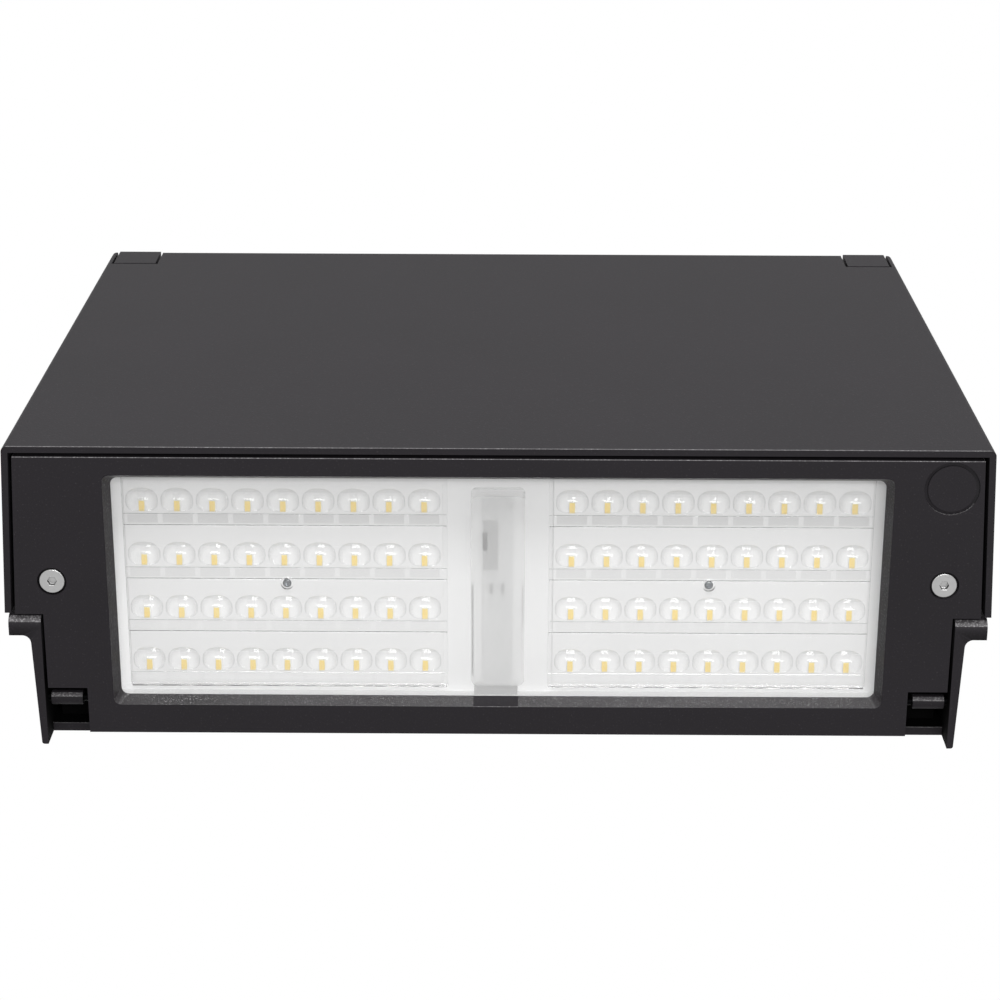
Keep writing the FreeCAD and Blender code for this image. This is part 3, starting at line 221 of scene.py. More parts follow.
def powder_coat(name, dark, light, speck, share, depth, **sockets):
    """black powder over die-cast aluminium: a dull grainy skin with a share of lighter specks"""
    material = finish_of(name, dark, light, 60, **sockets)
    tree, shader, where, tone = parts_of(material)
    grain = add(tree, "ShaderNodeTexNoise", {"Vector": where, "Scale": 1 / (GRAIN * MM), "Detail": 2.0,
                                             "Roughness": 0.6})
    fleck = add(tree, "ShaderNodeMapRange", {"Value": grain.outputs["Fac"],
                                             "From Min": SPECK_START - share,
                                             "From Max": SPECK_FULL - share, "To Max": SPECK_COVER})
    speckled = add(tree, "ShaderNodeMix", {0: fleck.outputs[0], 6: tone, 7: linear(speck)},
                   data_type="RGBA")
    tree.links.new(speckled.outputs[2], shader.inputs["Base Color"])
    peel = add(tree, "ShaderNodeBump", {"Height": grain.outputs["Fac"], "Strength": 0.6,
                                        "Distance": depth * MM})
    tree.links.new(peel.outputs[0], shader.inputs["Normal"])
    return material


# The full coat is dull black with a fine grain and hardly any specks.
coat = powder_coat("powder coated die-cast aluminium", "#211f22", "#252226", "#474447", share=0.1,
                   depth=0.12, Roughness=0.6, IOR=1.36, Specular_IOR_Level=COAT_SHEEN)
# The powder lies thin on edges, barrels and the slope of the window, so bright grit shows there.
# Its specks are lighter than the full coat's, partly as painted highlight.
thin_coat = powder_coat("powder coat thin over cast edges", "#222022", "#282528", "#605e60", share=0.16,
                        depth=0.4, Roughness=0.38, Specular_IOR_Level=0.5)
# Painted highlight: long front edges, barrels, lip and groove walls catch it as a broken, gritty line.
highlight_coat = powder_coat("powder coat painted lighter as highlight", "#454345", "#575457", "#a6a4a6",
                          share=0.22, depth=0.4, Roughness=0.45, Specular_IOR_Level=0.4)
# Painted shade: the closed corners round the barrels are painted near black for the shade that
# falls there. Out of the corners the coat's colour returns, over these stretches in mm.
SHADE_X, SHADE_Y, SHADE_Z = (194, 184.5), (-34, -60), (-110, -62)
painted_shade = finish_of("painted shade in closed corners", "#050505", "#090809", 20, Roughness=0.8)
tree, shader, where, tone = parts_of(painted_shade)
spot = add(tree, "ShaderNodeSeparateXYZ", {0: where})
aside = add(tree, "ShaderNodeMath", {0: spot.outputs["X"]}, operation="ABSOLUTE")
out_of_shade = None
for place, (darkest, coated) in ((aside.outputs[0], SHADE_X), (spot.outputs["Y"], SHADE_Y),
                              (spot.outputs["Z"], SHADE_Z)):
    way_out = add(tree, "ShaderNodeMapRange", {"Value": place, "From Min": darkest * MM,
                                               "From Max": coated * MM})
    out_of_shade = add(tree, "ShaderNodeMath", {0: out_of_shade.outputs[0] if out_of_shade else 0.0,
                                           1: way_out.outputs[0]}, operation="MAXIMUM")
over = add(tree, "ShaderNodeMix", {0: out_of_shade.outputs[0], 6: tone, 7: linear("#232124")},
           data_type="RGBA")
sheen = add(tree, "ShaderNodeMapRange", {"Value": out_of_shade.outputs[0], "To Min": SHADE_SHEEN,
                                         "To Max": COAT_SHEEN})
tree.links.new(over.outputs[2], shader.inputs["Base Color"])
tree.links.new(sheen.outputs[0], shader.inputs["Specular IOR Level"])

PIN_Y, PIN_Z, BARREL_REACH, NOTCH_IN, BOX_IN = -21.3 * MM, -163 * MM, 3.7 * MM, 184 * MM, 215.6 * MM
LEDGE_Y, LEDGE_Z, CORNER_TOP, CORNER_FOOT, LIP_Z = -5.6 * MM, -156.2 * MM, -60 * MM, -170 * MM, -165.8 * MM
TOLERANCE = 0.02 * MM
# Limits on where a face looks: the outside of a barrel up (Z), the lip's underside down, the
# walls of a corner in painted shade back (Y), and the painted highlight on barrels and lip forward (-Y).
BARREL_UP, LIP_DOWN, TO_WALL, HIGHLIGHT_FROM, HIGHLIGHT_TO = 0.2, -0.1, 0.5, -0.88, -0.4


def on_barrel(face):
    """whether a face of a casting is the outer side of a hinge barrel of the door"""
    spot = face.calc_center_median()
    near = math.hypot(spot.y - PIN_Y, spot.z - PIN_Z) < BARREL_REACH
    return near and face.normal.z < BARREL_UP and abs(spot.x) > NOTCH_IN


box = welded("back_box")
finishes = [coat, thin_coat, painted_shade, highlight_coat]
for place, normal in (((-NOTCH_IN, 0, 0), (1, 0, 0)), ((NOTCH_IN, 0, 0), (1, 0, 0)),
                      ((0, 0, CORNER_TOP), (0, 0, 1))):
    split_at(box, box.verts[:] + box.edges[:] + box.faces[:], place, normal)
round_lit_edges(box, 0.45, finishes.index(thin_coat))
# Painted highlight on the forward faces of barrels and lip, painted shade in the closed corners.
for face in box.faces:
    spot = face.calc_center_median()
    in_corner = NOTCH_IN < abs(spot.x) < BOX_IN + TOLERANCE and CORNER_FOOT < spot.z < CORNER_TOP
    on_ledge = spot.z < LEDGE_Z and spot.y > LEDGE_Y
    on_lip = spot.z < LIP_Z and abs(spot.x) > BOX_IN and face.normal.z < LIP_DOWN
    catches_highlight = HIGHLIGHT_FROM < face.normal.y < HIGHLIGHT_TO
    if on_barrel(face) or on_lip:
        face.material_index = finishes.index(highlight_coat if catches_highlight else coat)
    elif in_corner and not on_ledge and face.normal.y < TO_WALL:
        face.material_index = finishes.index(painted_shade)
piece_of("back_box_casting", box, finishes, "mount_side", "housing_paint", "back_box")
for side in ("left", "right"):
    piece_of(f"conduit_plug_turned_{side}", welded(f"conduit_plug_{side}"), [coat], "mount_side",
             "housing_paint", f"conduit_plug_{side}", edge=0.5)

# ------------------------------------------------------------------ wall gasket and seals
# Extruded silicone cord: one ring behind the back plate, strips in the lip between the box and
# the hood, and a frame under the glass. Matt black rubber, a little dusty from handling.


def grained(finish, size, strength, depth, detail=2.0, stretch=None):
    """give a finish a fine relief, with the size of its grain and its depth in mm"""
    tree, shader, where, _ = parts_of(finish)
    if stretch:
        where = add(tree, "ShaderNodeMapping", {"Vector": where, "Scale": stretch}).outputs[0]
    grain = add(tree, "ShaderNodeTexNoise", {"Vector": where, "Scale": 1 / (size * MM), "Detail": detail})
    relief = add(tree, "ShaderNodeBump", {"Height": grain.outputs["Fac"], "Strength": strength,
                                          "Distance": depth * MM})
    tree.links.new(relief.outputs[0], shader.inputs["Normal"])
    return finish


rubber = grained(finish_of("extruded silicone rubber", "#171718", "#232324", 14, Roughness=0.72,
                           Specular_IOR_Level=0.3), size=1.2, strength=0.4, depth=0.1)
for node, body in (("wall_gasket", "mount_side"), ("housing_seal_strips", "mount_side"),
                   ("lens_gasket", "lens_door")):
    piece_of(f"{node}_rubber", welded(node), [rubber], body, "seal_rubber", node, edge=0.3)

# ------------------------------------------------------------------ hood and its pins
# The cast hood with the big plain front plate. It hangs on two ground steel pins that go
# through its lugs into the arms of the box, and two more pins carry the lens door.
hood = welded("front_housing")
finishes = [coat, highlight_coat]
# The long lower front edges get a painted highlight.
round_lit_edges(hood, 1.0, finishes.index(highlight_coat))
piece_of("hood_casting", hood, finishes, "hood", "housing_paint", "front_housing")

# Grinding leaves fine rings round the pins, which are near black, so they hardly gleam.
pin_steel = finish_of("blackened ground steel", "#080809", "#0e0e0f", 3, Metallic=1.0, Roughness=0.5)
tree, shader, where, _ = parts_of(pin_steel)
rings = add(tree, "ShaderNodeTexWave", {"Vector": where, "Scale": 1 / (2.5 * MM), "Distortion": 0.6},
            bands_direction="X")
ground = add(tree, "ShaderNodeBump", {"Height": rings.outputs["Fac"], "Strength": 0.15,
                                      "Distance": 0.02 * MM})
tree.links.new(ground.outputs[0], shader.inputs["Normal"])
for hinge in ("hood", "door"):
    for side in ("left", "right"):
        node = f"{hinge}_hinge_pin_{side}"
        piece_of(f"{node}_ground", welded(node), [pin_steel], "mount_side", "hinge_steel", node, edge=0.2)

# ------------------------------------------------------------------ lens door
# The cast frame round the window, hinged on the barrels and held by two captive screws. Its
# barrels and the slope round the window have the thin, gritty coat, apart from a short stretch
# behind the wire cover, kept darker as the painted shadow of its tail. A shallow groove is cut
# round the pad, with painted shade and painted highlight on its walls.
WINDOW_HALF, WINDOW_FRONT, WINDOW_REAR, DOOR_FACE = 183 * MM, -137.7 * MM, -21.1 * MM, -171 * MM
TAIL_LEFT, TAIL_RIGHT, TAIL_DEPTH = -11.5 * MM, 9.9 * MM, 3 * MM
SLOPE_DEPTH, SLOPE_WIDTH, STEEPEST, FLATTEST = 6 * MM, 2.5 * MM, -0.2, -0.9
PAD_X, PAD_Y, GROOVE_IN, GROOVE_OUT, GROOVE_DEPTH = 209.4 * MM, -133 * MM, 11 * MM, 13.1 * MM, 3 * MM
# A wall of the groove gets painted shade where it looks less far forward (-Y) than the first of
# these, and a painted highlight where it looks further forward than the second.
IN_SHADE, CATCHES_LIGHT = -0.5, -0.6


def with_borders(faces):
    """some faces together with their edges and corners"""
    edges = {edge for face in faces for edge in face.edges}
    corners = {corner for face in faces for corner in face.verts}
    return list(edges | corners) + faces


def on_slope(face):
    """whether a face leans like the slope round the window and lies as deep as it does"""
    return FLATTEST < face.normal.z < STEEPEST and face.calc_center_median().z < DOOR_FACE + SLOPE_DEPTH


def in_groove(face):
    """whether a face belongs to the ring cut round the pad beside the window"""
    out = [math.hypot(v.co.x - PAD_X, v.co.y - PAD_Y) for v in face.verts]
    middle = face.calc_center_median()
    off_pad = math.hypot(middle.x - PAD_X, middle.y - PAD_Y) >= GROOVE_IN / 4
    in_ring = GROOVE_IN < min(out) and max(out) < GROOVE_OUT
    return in_ring and off_pad and middle.z < DOOR_FACE + GROOVE_DEPTH


door = welded("door_frame")
finishes = [coat, thin_coat, highlight_coat, painted_shade]
rear_slope = [face for face in door.faces
              if on_slope(face) and abs(face.calc_center_median().y - WINDOW_REAR) < SLOPE_WIDTH]
for x in (TAIL_LEFT, TAIL_RIGHT):
    split = split_at(door, with_borders(rear_slope), (x, 0, 0), (1, 0, 0))
    rear_slope = list({part for part in split if isinstance(part, bmesh.types.BMFace)})
ring = [face for face in door.faces if in_groove(face)]
split_at(door, with_borders(ring), (PAD_X, PAD_Y, 0), (1, -1, 0))
# The long lower front edges get a painted highlight.
round_lit_edges(door, 0.3, finishes.index(highlight_coat))
# Painted light: the slope behind the cover keeps the darker coat as the tail's painted shadow.
for face in door.faces:
    spot = face.calc_center_median()
    by_window = abs(spot.x) < WINDOW_HALF + MM and WINDOW_FRONT - MM < spot.y < WINDOW_REAR + MM
    at_tail = TAIL_LEFT < spot.x < TAIL_RIGHT and spot.y > WINDOW_REAR - TAIL_DEPTH
    shaded = spot.x - PAD_X > spot.y - PAD_Y and face.normal.y > IN_SHADE
    lit = spot.y > PAD_Y and face.normal.y < CATCHES_LIGHT
    if on_slope(face) and by_window or on_barrel(face):
        face.material_index = finishes.index(coat if at_tail else thin_coat)
    elif in_groove(face):
        face.material_index = finishes.index(painted_shade if shaded else highlight_coat if lit else coat)
piece_of("door_casting", door, finishes, "lens_door", "housing_paint", "door_frame")

# ------------------------------------------------------------------ glass pane
# A pane of tempered float glass on the rubber frame inside the door. It lets the light
# through, so it casts no shadow, and only a faint sheen and a slight waviness from
# tempering show that it is there.
glass = grained(finish_of("tempered float glass", "#fafafa", "#fdfdfd", 120, Roughness=0.01, IOR=1.5,
                          Transmission_Weight=1.0, Specular_IOR_Level=0.2),
                size=90, strength=0.05, depth=0.3)
pane = piece_of("glass_pane", welded("lens_glass"), [glass], "lens_door", "clear_glass", "lens_glass",
                edge=0.5)
pane.visible_shadow = pane.visible_diffuse = False

# ------------------------------------------------------------------ white pan and heat sink
# The pan is folded sheet steel with white powder coat, and forms the pale edge inside the
# window. Behind it an extruded aluminium sink is screwed to the chamber wall.
PAN_REAR, FLANGE_FRONT = -26 * MM, -0.3
# White powder gives the pan an even, slightly pebbled white.
pan_white = grained(finish_of("white powder coated sheet steel", "#ececec", "#f0f0f0", 40, Roughness=0.5,
                              Specular_IOR_Level=0.35), size=1.1, strength=0.3, depth=0.06)
# Painted shade: the rear flange, where it faces forward, is painted greyer than the pan.
shaded_white = finish_of("white powder coat painted greyer on the rear flange", "#cccccc", "#d2d2d2", 30,
                       Roughness=0.6, Specular_IOR_Level=0.2)
pan = welded("led_pan")
for face in pan.faces:
    face.material_index = int(face.calc_center_median().y > PAN_REAR and face.normal.y < FLANGE_FRONT)
piece_of("pan_folded", pan, [pan_white, shaded_white], "lens_door", "white_pan", "led_pan", edge=0.4)

# The die leaves fine lines along the extruded fins, which draw out the gleam across them.
extruded = grained(finish_of("extruded aluminium", "#a9abad", "#babcbe", 30, Metallic=1.0, Roughness=0.42),
                   size=0.8, strength=0.35, depth=0.05, stretch=(1.0, 0.02, 1.0))
piece_of("heat_sink_extruded", welded("heat_sink"), [extruded], "lens_door", "sink_aluminium",
         "heat_sink")

# Zinc plating is clear in some spots and dull in others, so the gleam breaks up into patches.
zinc = finish_of("zinc plated steel", "#9fa2a6", "#b4b7ba", 8, Metallic=1.0)
tree, shader, where, _ = parts_of(zinc)
patches = add(tree, "ShaderNodeTexVoronoi", {"Vector": where, "Scale": 1 / (2.2 * MM)})
dull = add(tree, "ShaderNodeMapRange", {"Value": patches.outputs["Color"], "To Min": 0.26,
                                        "To Max": 0.42})
tree.links.new(dull.outputs[0], shader.inputs["Roughness"])
piece_of("heat_sink_bolts", welded("heat_sink_screws"), [zinc], "lens_door", "zinc_steel",
         "heat_sink_screws", edge=0.2)

# ------------------------------------------------------------------ LED boards
# Two aluminium boards with white solder mask. Each LED sits between two brighter white patches,
# a painted highlight for the bright lobes of its lens, with a copper land behind it that shows as a
# faint grey rectangle.
LED_COLUMNS, LED_ROWS = 9, 4
COLUMN_PITCH, ROW_PITCH = 16.56 * MM, 27.17 * MM
FIRST_COLUMN, FIRST_ROW = 34.7 * MM, -117.9 * MM
BOARD_FACE = -154.5 * MM
LOBE_IN, LOBE_OUT, LOBE_FRONT, LOBE_REAR, LOBE_HEIGHT = 1.9, 6.2, -5.6, 2.6, 0.05
LAND_HALF, LAND_FRONT, LAND_REAR, LAND_HEIGHT = 7.1, 4.4, 9.2, 0.04
LAND_CLEAREST, LAND_FAINTEST = -115 * MM, -30 * MM
BODY_X, BODY_Y, BODY_HEIGHT, FACE_X, FACE_Y, FACE_TOP, FACE_ROOT = 1.5, 2.6, 0.8, 1.3, 1.9, 0.88, 0.75


def mesh_of(shape):
    """a plain mesh from a bmesh"""
    mesh = bpy.data.meshes.new("form")
    shape.to_mesh(mesh)
    shape.free()
    return mesh


def block(low, high, soft, segments=2):
    """a mesh of a block between two corners in mm, with softened edges"""
    shape = bmesh.new()
    middle = [(a + b) / 2 * MM for a, b in zip(low, high)]
    sides = [(b - a) * MM for a, b in zip(low, high)]
    bmesh.ops.create_cube(shape, size=1.0, matrix=Matrix.Translation(middle)
                          @ Matrix.Diagonal(sides + [1.0]))
    bmesh.ops.bevel(shape, geom=shape.edges, offset=soft * MM, segments=segments, affect="EDGES",
                    profile=0.5)
    return mesh_of(shape)


def join_in(shape, mesh, index=0):
    """add a mesh to a bmesh and give its faces one material"""
    mesh.polygons.foreach_set("material_index", [index] * len(mesh.polygons))
    shape.from_mesh(mesh)


def grid_tree():
    """a node tree that repeats a shape in columns and rows"""
    tree = bpy.data.node_groups.new("columns_and_rows", "GeometryNodeTree")
    sockets = tree.interface
    sockets.new_socket("Geometry", in_out="INPUT", socket_type="NodeSocketGeometry")
    for label, kind in (("Shape", "Object"), ("Columns", "Int"), ("Rows", "Int"),
                        ("Column pitch", "Float"), ("Row pitch", "Float"), ("Corner", "Vector"),
                        ("Finish", "Material")):
        sockets.new_socket(label, in_out="INPUT", socket_type="NodeSocket" + kind)
    sockets.new_socket("Geometry", in_out="OUTPUT", socket_type="NodeSocketGeometry")
    given = add(tree, "NodeGroupInput").outputs
    count = add(tree, "ShaderNodeMath", {0: given["Columns"], 1: given["Rows"]}, operation="MULTIPLY")
    points = add(tree, "GeometryNodePoints", {"Count": count.outputs[0]})
    number = add(tree, "GeometryNodeInputIndex")
    column = add(tree, "ShaderNodeMath", {0: number.outputs[0], 1: given["Columns"]},
                 operation="MODULO")
    row = add(tree, "ShaderNodeMath", {0: number.outputs[0], 1: given["Columns"]}, operation="DIVIDE")
    row = add(tree, "ShaderNodeMath", {0: row.outputs[0]}, operation="FLOOR")
    along = add(tree, "ShaderNodeMath", {0: column.outputs[0], 1: given["Column pitch"]},
                operation="MULTIPLY")
    across = add(tree, "ShaderNodeMath", {0: row.outputs[0], 1: given["Row pitch"]},
                 operation="MULTIPLY")
    step = add(tree, "ShaderNodeCombineXYZ", {0: along.outputs[0], 1: across.outputs[0]})
    place = add(tree, "ShaderNodeVectorMath", {0: step.outputs[0], 1: given["Corner"]}, operation="ADD")
    placed = add(tree, "GeometryNodeSetPosition", {"Geometry": points.outputs[0],
                                                   "Position": place.outputs[0]})
    shape = add(tree, "GeometryNodeObjectInfo", {"Object": given["Shape"]})
    copies = add(tree, "GeometryNodeInstanceOnPoints", {"Points": placed.outputs[0],
                                                        "Instance": shape.outputs["Geometry"]})
    real = add(tree, "GeometryNodeRealizeInstances", {"Geometry": copies.outputs[0]})
    finished = add(tree, "GeometryNodeSetMaterial", {"Geometry": real.outputs[0],
                                                     "Material": given["Finish"]})
    add(tree, "NodeGroupOutput", {"Geometry": finished.outputs[0]})
    return tree


GRID = grid_tree()


def led_grid(mesh, corner, finish):
    """the plain mesh of one copy of a mesh per LED of a board, the first at a corner"""
    pattern = bpy.data.objects.new("pattern", mesh)
    carrier = bpy.data.objects.new("carrier", bpy.data.meshes.new("carrier"))
    for thing in (pattern, carrier):
        bpy.context.scene.collection.objects.link(thing)
    modifier = carrier.modifiers.new("grid", "NODES")
    modifier.node_group = GRID
    values = {"Shape": pattern, "Columns": LED_COLUMNS, "Rows": LED_ROWS, "Column pitch": COLUMN_PITCH,
              "Row pitch": ROW_PITCH, "Corner": corner, "Finish": finish}
    for item in GRID.interface.items_tree:
        if item.in_out == "INPUT" and item.name in values:
            modifier[item.identifier] = values[item.name]
    evaluated = carrier.evaluated_get(bpy.context.evaluated_depsgraph_get())
    grid = bpy.data.meshes.new_from_object(evaluated)
    bpy.data.objects.remove(carrier)
    bpy.data.objects.remove(pattern)
    return grid


# Solder mask is a thin, clean white paint that is printed on and lies slightly uneven.
mask = grained(finish_of("white solder mask on aluminium", "#efefef", "#f3f3f3", 25, Roughness=0.4,
                         Specular_IOR_Level=0.35), size=2, strength=0.2, depth=0.03, detail=3.0)
# Beside each LED a brighter, glossier white patch paints the highlight in the lobes of its lens.
lobe_highlight_print = finish_of("glossy white patches under the lens lobes", "#fafafa", "#fcfcfc", 6, Roughness=0.3)
# Over copper the mask looks greyer, and the difference fades from the front row to the rear.
land = finish_of("solder mask over copper lands", "#dcdcdc", "#e1e1e1", 6, Roughness=0.4)
tree, shader, where, tone = parts_of(land)
depth = add(tree, "ShaderNodeSeparateXYZ", {0: where})
fading = add(tree, "ShaderNodeMapRange", {"Value": depth.outputs["Y"], "From Min": LAND_CLEAREST,
                                          "From Max": LAND_FAINTEST})
buried = add(tree, "ShaderNodeMix", {0: fading.outputs[0], 6: tone, 7: linear("#f4f4f4")},
             data_type="RGBA")
tree.links.new(buried.outputs[2], shader.inputs["Base Color"])
# An LED's body is opaque white resin, and its face is gritty phosphor in a warm, matt yellow.
package = finish_of("moulded white LED package", "#e8e8e4", "#f0f0ec", 3, Roughness=0.35)
phosphor = grained(finish_of("cast yellow LED phosphor", "#ffdf82", "#ffebac", 1.5, Roughness=0.5),
                   size=0.4, strength=0.3, depth=0.05)

left_lobe = block((-LOBE_OUT, LOBE_FRONT, -LOBE_HEIGHT), (-LOBE_IN, LOBE_REAR, 0.0), soft=0.02)
right_lobe = block((LOBE_IN, LOBE_FRONT, -LOBE_HEIGHT), (LOBE_OUT, LOBE_REAR, 0.0), soft=0.02)
copper_land = block((-LAND_HALF, LAND_FRONT, -LAND_HEIGHT), (LAND_HALF, LAND_REAR, 0.0), soft=0.015)
led_body = block((-BODY_X, -BODY_Y, -BODY_HEIGHT), (BODY_X, BODY_Y, 0.0), soft=0.15)
led_face = block((-FACE_X, -FACE_Y, -FACE_TOP), (FACE_X, FACE_Y, -FACE_ROOT), soft=0.06)
CORNERS = {"left": (-FIRST_COLUMN - (LED_COLUMNS - 1) * COLUMN_PITCH, FIRST_ROW, BOARD_FACE),
           "right": (FIRST_COLUMN, FIRST_ROW, BOARD_FACE)}
for side, corner in CORNERS.items():
    board = welded(f"led_board_{side}")
    join_in(board, led_grid(left_lobe, corner, lobe_highlight_print), 1)
    join_in(board, led_grid(right_lobe, corner, lobe_highlight_print), 1)
    join_in(board, led_grid(copper_land, corner, land), 2)
    piece_of(f"led_board_printed_{side}", board, [mask, lobe_highlight_print, land], "lens_door", "white_board",
             f"led_board_{side}")
    chips = bmesh.new()
    join_in(chips, led_grid(led_body, corner, package))
    join_in(chips, led_grid(led_face, corner, phosphor), 1)
    piece_of(f"leds_{side}", chips, [package, phosphor], "lens_door", "led_phosphor",
             f"led_chips_{side}")

# ------------------------------------------------------------------ optics
# One clear acrylic moulding over each board: a sheet with a wide lens and a hollow behind it
# for every LED, and a raised bar behind each row. Acrylic lets the light through to the board,
# so the mouldings cast no shadow.
OPTIC_FACE, OPTIC_BACK = -156.0, -154.6
SHEET_IN, SHEET_OUT, SHEET_FRONT, SHEET_REAR = 23.8, 176.5, -133.5, -25.5
BAR_START, BAR_END, BAR_HEIGHT, RIB_WIDTH, RIB_HEIGHT, RIB_OVERLAP = 4.2, 9.9, 0.4, 1.4, 1.2, 0.3
BAR_MARGIN, BAR_ROOT, TILT = 0.5, 0.8, 0.001
BOARD_SCREW, SEAT_RADIUS, SEAT_DEPTH = (100.04 * MM, -78.2 * MM), 3.0 * MM, 8 * MM
DOME_FORWARD, HOLLOW_FORWARD = 2.0 * MM, 1.3 * MM
# The curves of a lens: how much it narrows and flattens to the rear, how square its outline
# is in front and behind, how full its side is, and how wide the valley between its lobes.
NARROWING, FLATTENING, FRONT_CURVE, REAR_CURVE, SIDE_CURVE, VALLEY_WIDTH = 0.14, 0.35, 2.4, 4.0, 2.3, 0.17


def lens_form(width, front, rear, height, sink, valley, lean, swell=0.95, rings=12, around=48):
    """a closed lens in mm: round in front, flatter and narrower behind, with two shallow lobes"""
    shape = bmesh.new()
    loops = []
    for ring in range(rings):
        share = math.cos(0.5 * math.pi * ring / rings)
        loop = []
        for step in range(around):
            turn = 2 * math.pi * step / around
            x, y = math.cos(turn), math.sin(turn)
            power = 2 / (REAR_CURVE if y > 0 else FRONT_CURVE)
            half = width / 2 * (1 - NARROWING * max(y, 0))
            out = math.copysign(abs(x) ** power, x) * half * share
            back = math.copysign(abs(y) ** power, y) * (rear if y > 0 else front) * share
            rise = height * (1 - share ** SIDE_CURVE) ** (swell * (1 - FLATTENING * max(y, 0)))
            rise -= valley * math.exp(-(out / (VALLEY_WIDTH * width)) ** 2) * (1 - share ** 4)
            loop.append(shape.verts.new((out * MM, (back + lean * (1 - share)) * MM, -rise * MM)))
        loops.append(loop)
    foot = [shape.verts.new((v.co.x, v.co.y, sink * MM)) for v in loops[0]]
    top = shape.verts.new((0, lean * MM, (valley - height) * MM))
    for low, high in zip([foot] + loops, loops):
        for step in range(around):
            after = (step + 1) % around
            shape.faces.new((low[step], high[step], high[after], low[after]))
    for step in range(around):
        shape.faces.new((loops[-1][step], top, loops[-1][(step + 1) % around]))
    shape.faces.new(foot)
    bmesh.ops.recalc_face_normals(shape, faces=shape.faces)
    return mesh_of(shape)


def carve(base, mesh, operation):
    """join a mesh to a solid or cut it away, and keep the plain mesh"""
    tool = bpy.data.objects.new("tool", mesh)
    bpy.context.scene.collection.objects.link(tool)
    modifier = base.modifiers.new("solid", "BOOLEAN")
    modifier.operation = operation
    modifier.object = tool
    modifier.solver = "MANIFOLD"
    evaluated = base.evaluated_get(bpy.context.evaluated_depsgraph_get())
    solid = bpy.data.meshes.new_from_object(evaluated)
    base.modifiers.clear()
    base.data = solid
    bpy.data.objects.remove(tool)


# Acrylic is as clear as glass, and moulding leaves it a little softer in its gloss.
CLEAR = {"Roughness": 0.03, "IOR": 1.49, "Transmission_Weight": 1.0}
clear_sheet = finish_of("moulded clear acrylic", "#fafafa", "#fdfdfd", 40, **CLEAR)
# Light leaves a lens's steep rim sideways, so the rim looks greyer than the rest. It has its
# full grey where its normal's share along Z is below the first of these, and none above the
# second.
RIM_GREY, RIM_CLEAR = 0.45, 0.85
acrylic = finish_of("moulded clear acrylic of the lenses", "#fafafa", "#fdfdfd", 40, **CLEAR)
tree, shader, where, tone = parts_of(acrylic)
slope = add(tree, "ShaderNodeSeparateXYZ", {0: add(tree, "ShaderNodeTexCoord").outputs["Normal"]})
level = add(tree, "ShaderNodeMath", {0: slope.outputs["Z"]}, operation="ABSOLUTE")
steep = add(tree, "ShaderNodeMapRange", {"Value": level.outputs[0], "From Min": RIM_GREY,
                                         "From Max": RIM_CLEAR, "To Min": 1.0, "To Max": 0.0})
rim = add(tree, "ShaderNodeMix", {0: steep.outputs[0], 6: tone, 7: linear("#c6c6c6")},
          data_type="RGBA")
tree.links.new(rim.outputs[2], shader.inputs["Base Color"])

dome = lens_form(width=15.4, front=6.6, rear=5.0, height=4.3, sink=0.5, valley=0.3, lean=0.9)
hollow = lens_form(width=8.2, front=4.4, rear=4.4, height=1.25, sink=0.4, valley=0.0, lean=0.0,
                   swell=2.0, rings=9, around=28)
for side, (x, y, _) in CORNERS.items():
    turn = -1 if side == "left" else 1
    near, far = sorted((turn * SHEET_IN, turn * SHEET_OUT))
    sheet = block((near, SHEET_FRONT, OPTIC_FACE), (far, SHEET_REAR, OPTIC_BACK), soft=0.08)
    optic = bpy.data.objects.new("sheet", sheet)
    bpy.context.scene.collection.objects.link(optic)
    bars, ribs = bmesh.new(), bmesh.new()
    for row in range(LED_ROWS):
        led_y = (FIRST_ROW + row * ROW_PITCH) / MM
        join_in(bars, block((near + BAR_MARGIN, led_y + BAR_START, OPTIC_FACE - BAR_HEIGHT),
                            (far - BAR_MARGIN, led_y + BAR_END, OPTIC_FACE + BAR_ROOT),
                            soft=0.15, segments=3))
        join_in(ribs, block((near + BAR_MARGIN, led_y + BAR_END - RIB_OVERLAP, OPTIC_FACE - RIB_HEIGHT),
                            (far - BAR_MARGIN, led_y + BAR_END + RIB_WIDTH, OPTIC_FACE + BAR_ROOT),
                            soft=0.35, segments=3))
    seat = bmesh.new()
    bmesh.ops.create_cone(seat, cap_ends=True, segments=40, radius1=SEAT_RADIUS, radius2=SEAT_RADIUS,
                          depth=SEAT_DEPTH, matrix=Matrix.Translation((turn * BOARD_SCREW[0],
                                                                      BOARD_SCREW[1], OPTIC_FACE * MM)))
    carve(optic, mesh_of(bars), "UNION")
    carve(optic, mesh_of(ribs), "UNION")
    carve(optic, led_grid(dome, (x, y - DOME_FORWARD, OPTIC_FACE * MM), acrylic), "UNION")
    carve(optic, led_grid(hollow, (x, y - HOLLOW_FORWARD, OPTIC_BACK * MM), acrylic), "DIFFERENCE")
    carve(optic, mesh_of(seat), "DIFFERENCE")
    moulding = bmesh.new()
    moulding.from_mesh(optic.data)
    bpy.data.objects.remove(optic)
    for face in moulding.faces:
        face.material_index = int(min(abs(face.normal.x), abs(face.normal.y)) > TILT)
    clear = piece_of(f"optic_moulding_{side}", moulding, [clear_sheet, acrylic], "lens_door", "clear_optic",
                     f"optic_plate_{side}")
    clear.visible_shadow = clear.visible_diffuse = False

# ------------------------------------------------------------------ board screws
# One small pan head screw in the middle of each board, cold-formed in steel with a socket for
# a hex key and zinc plated. It is driven through the hole in the optic into the board.


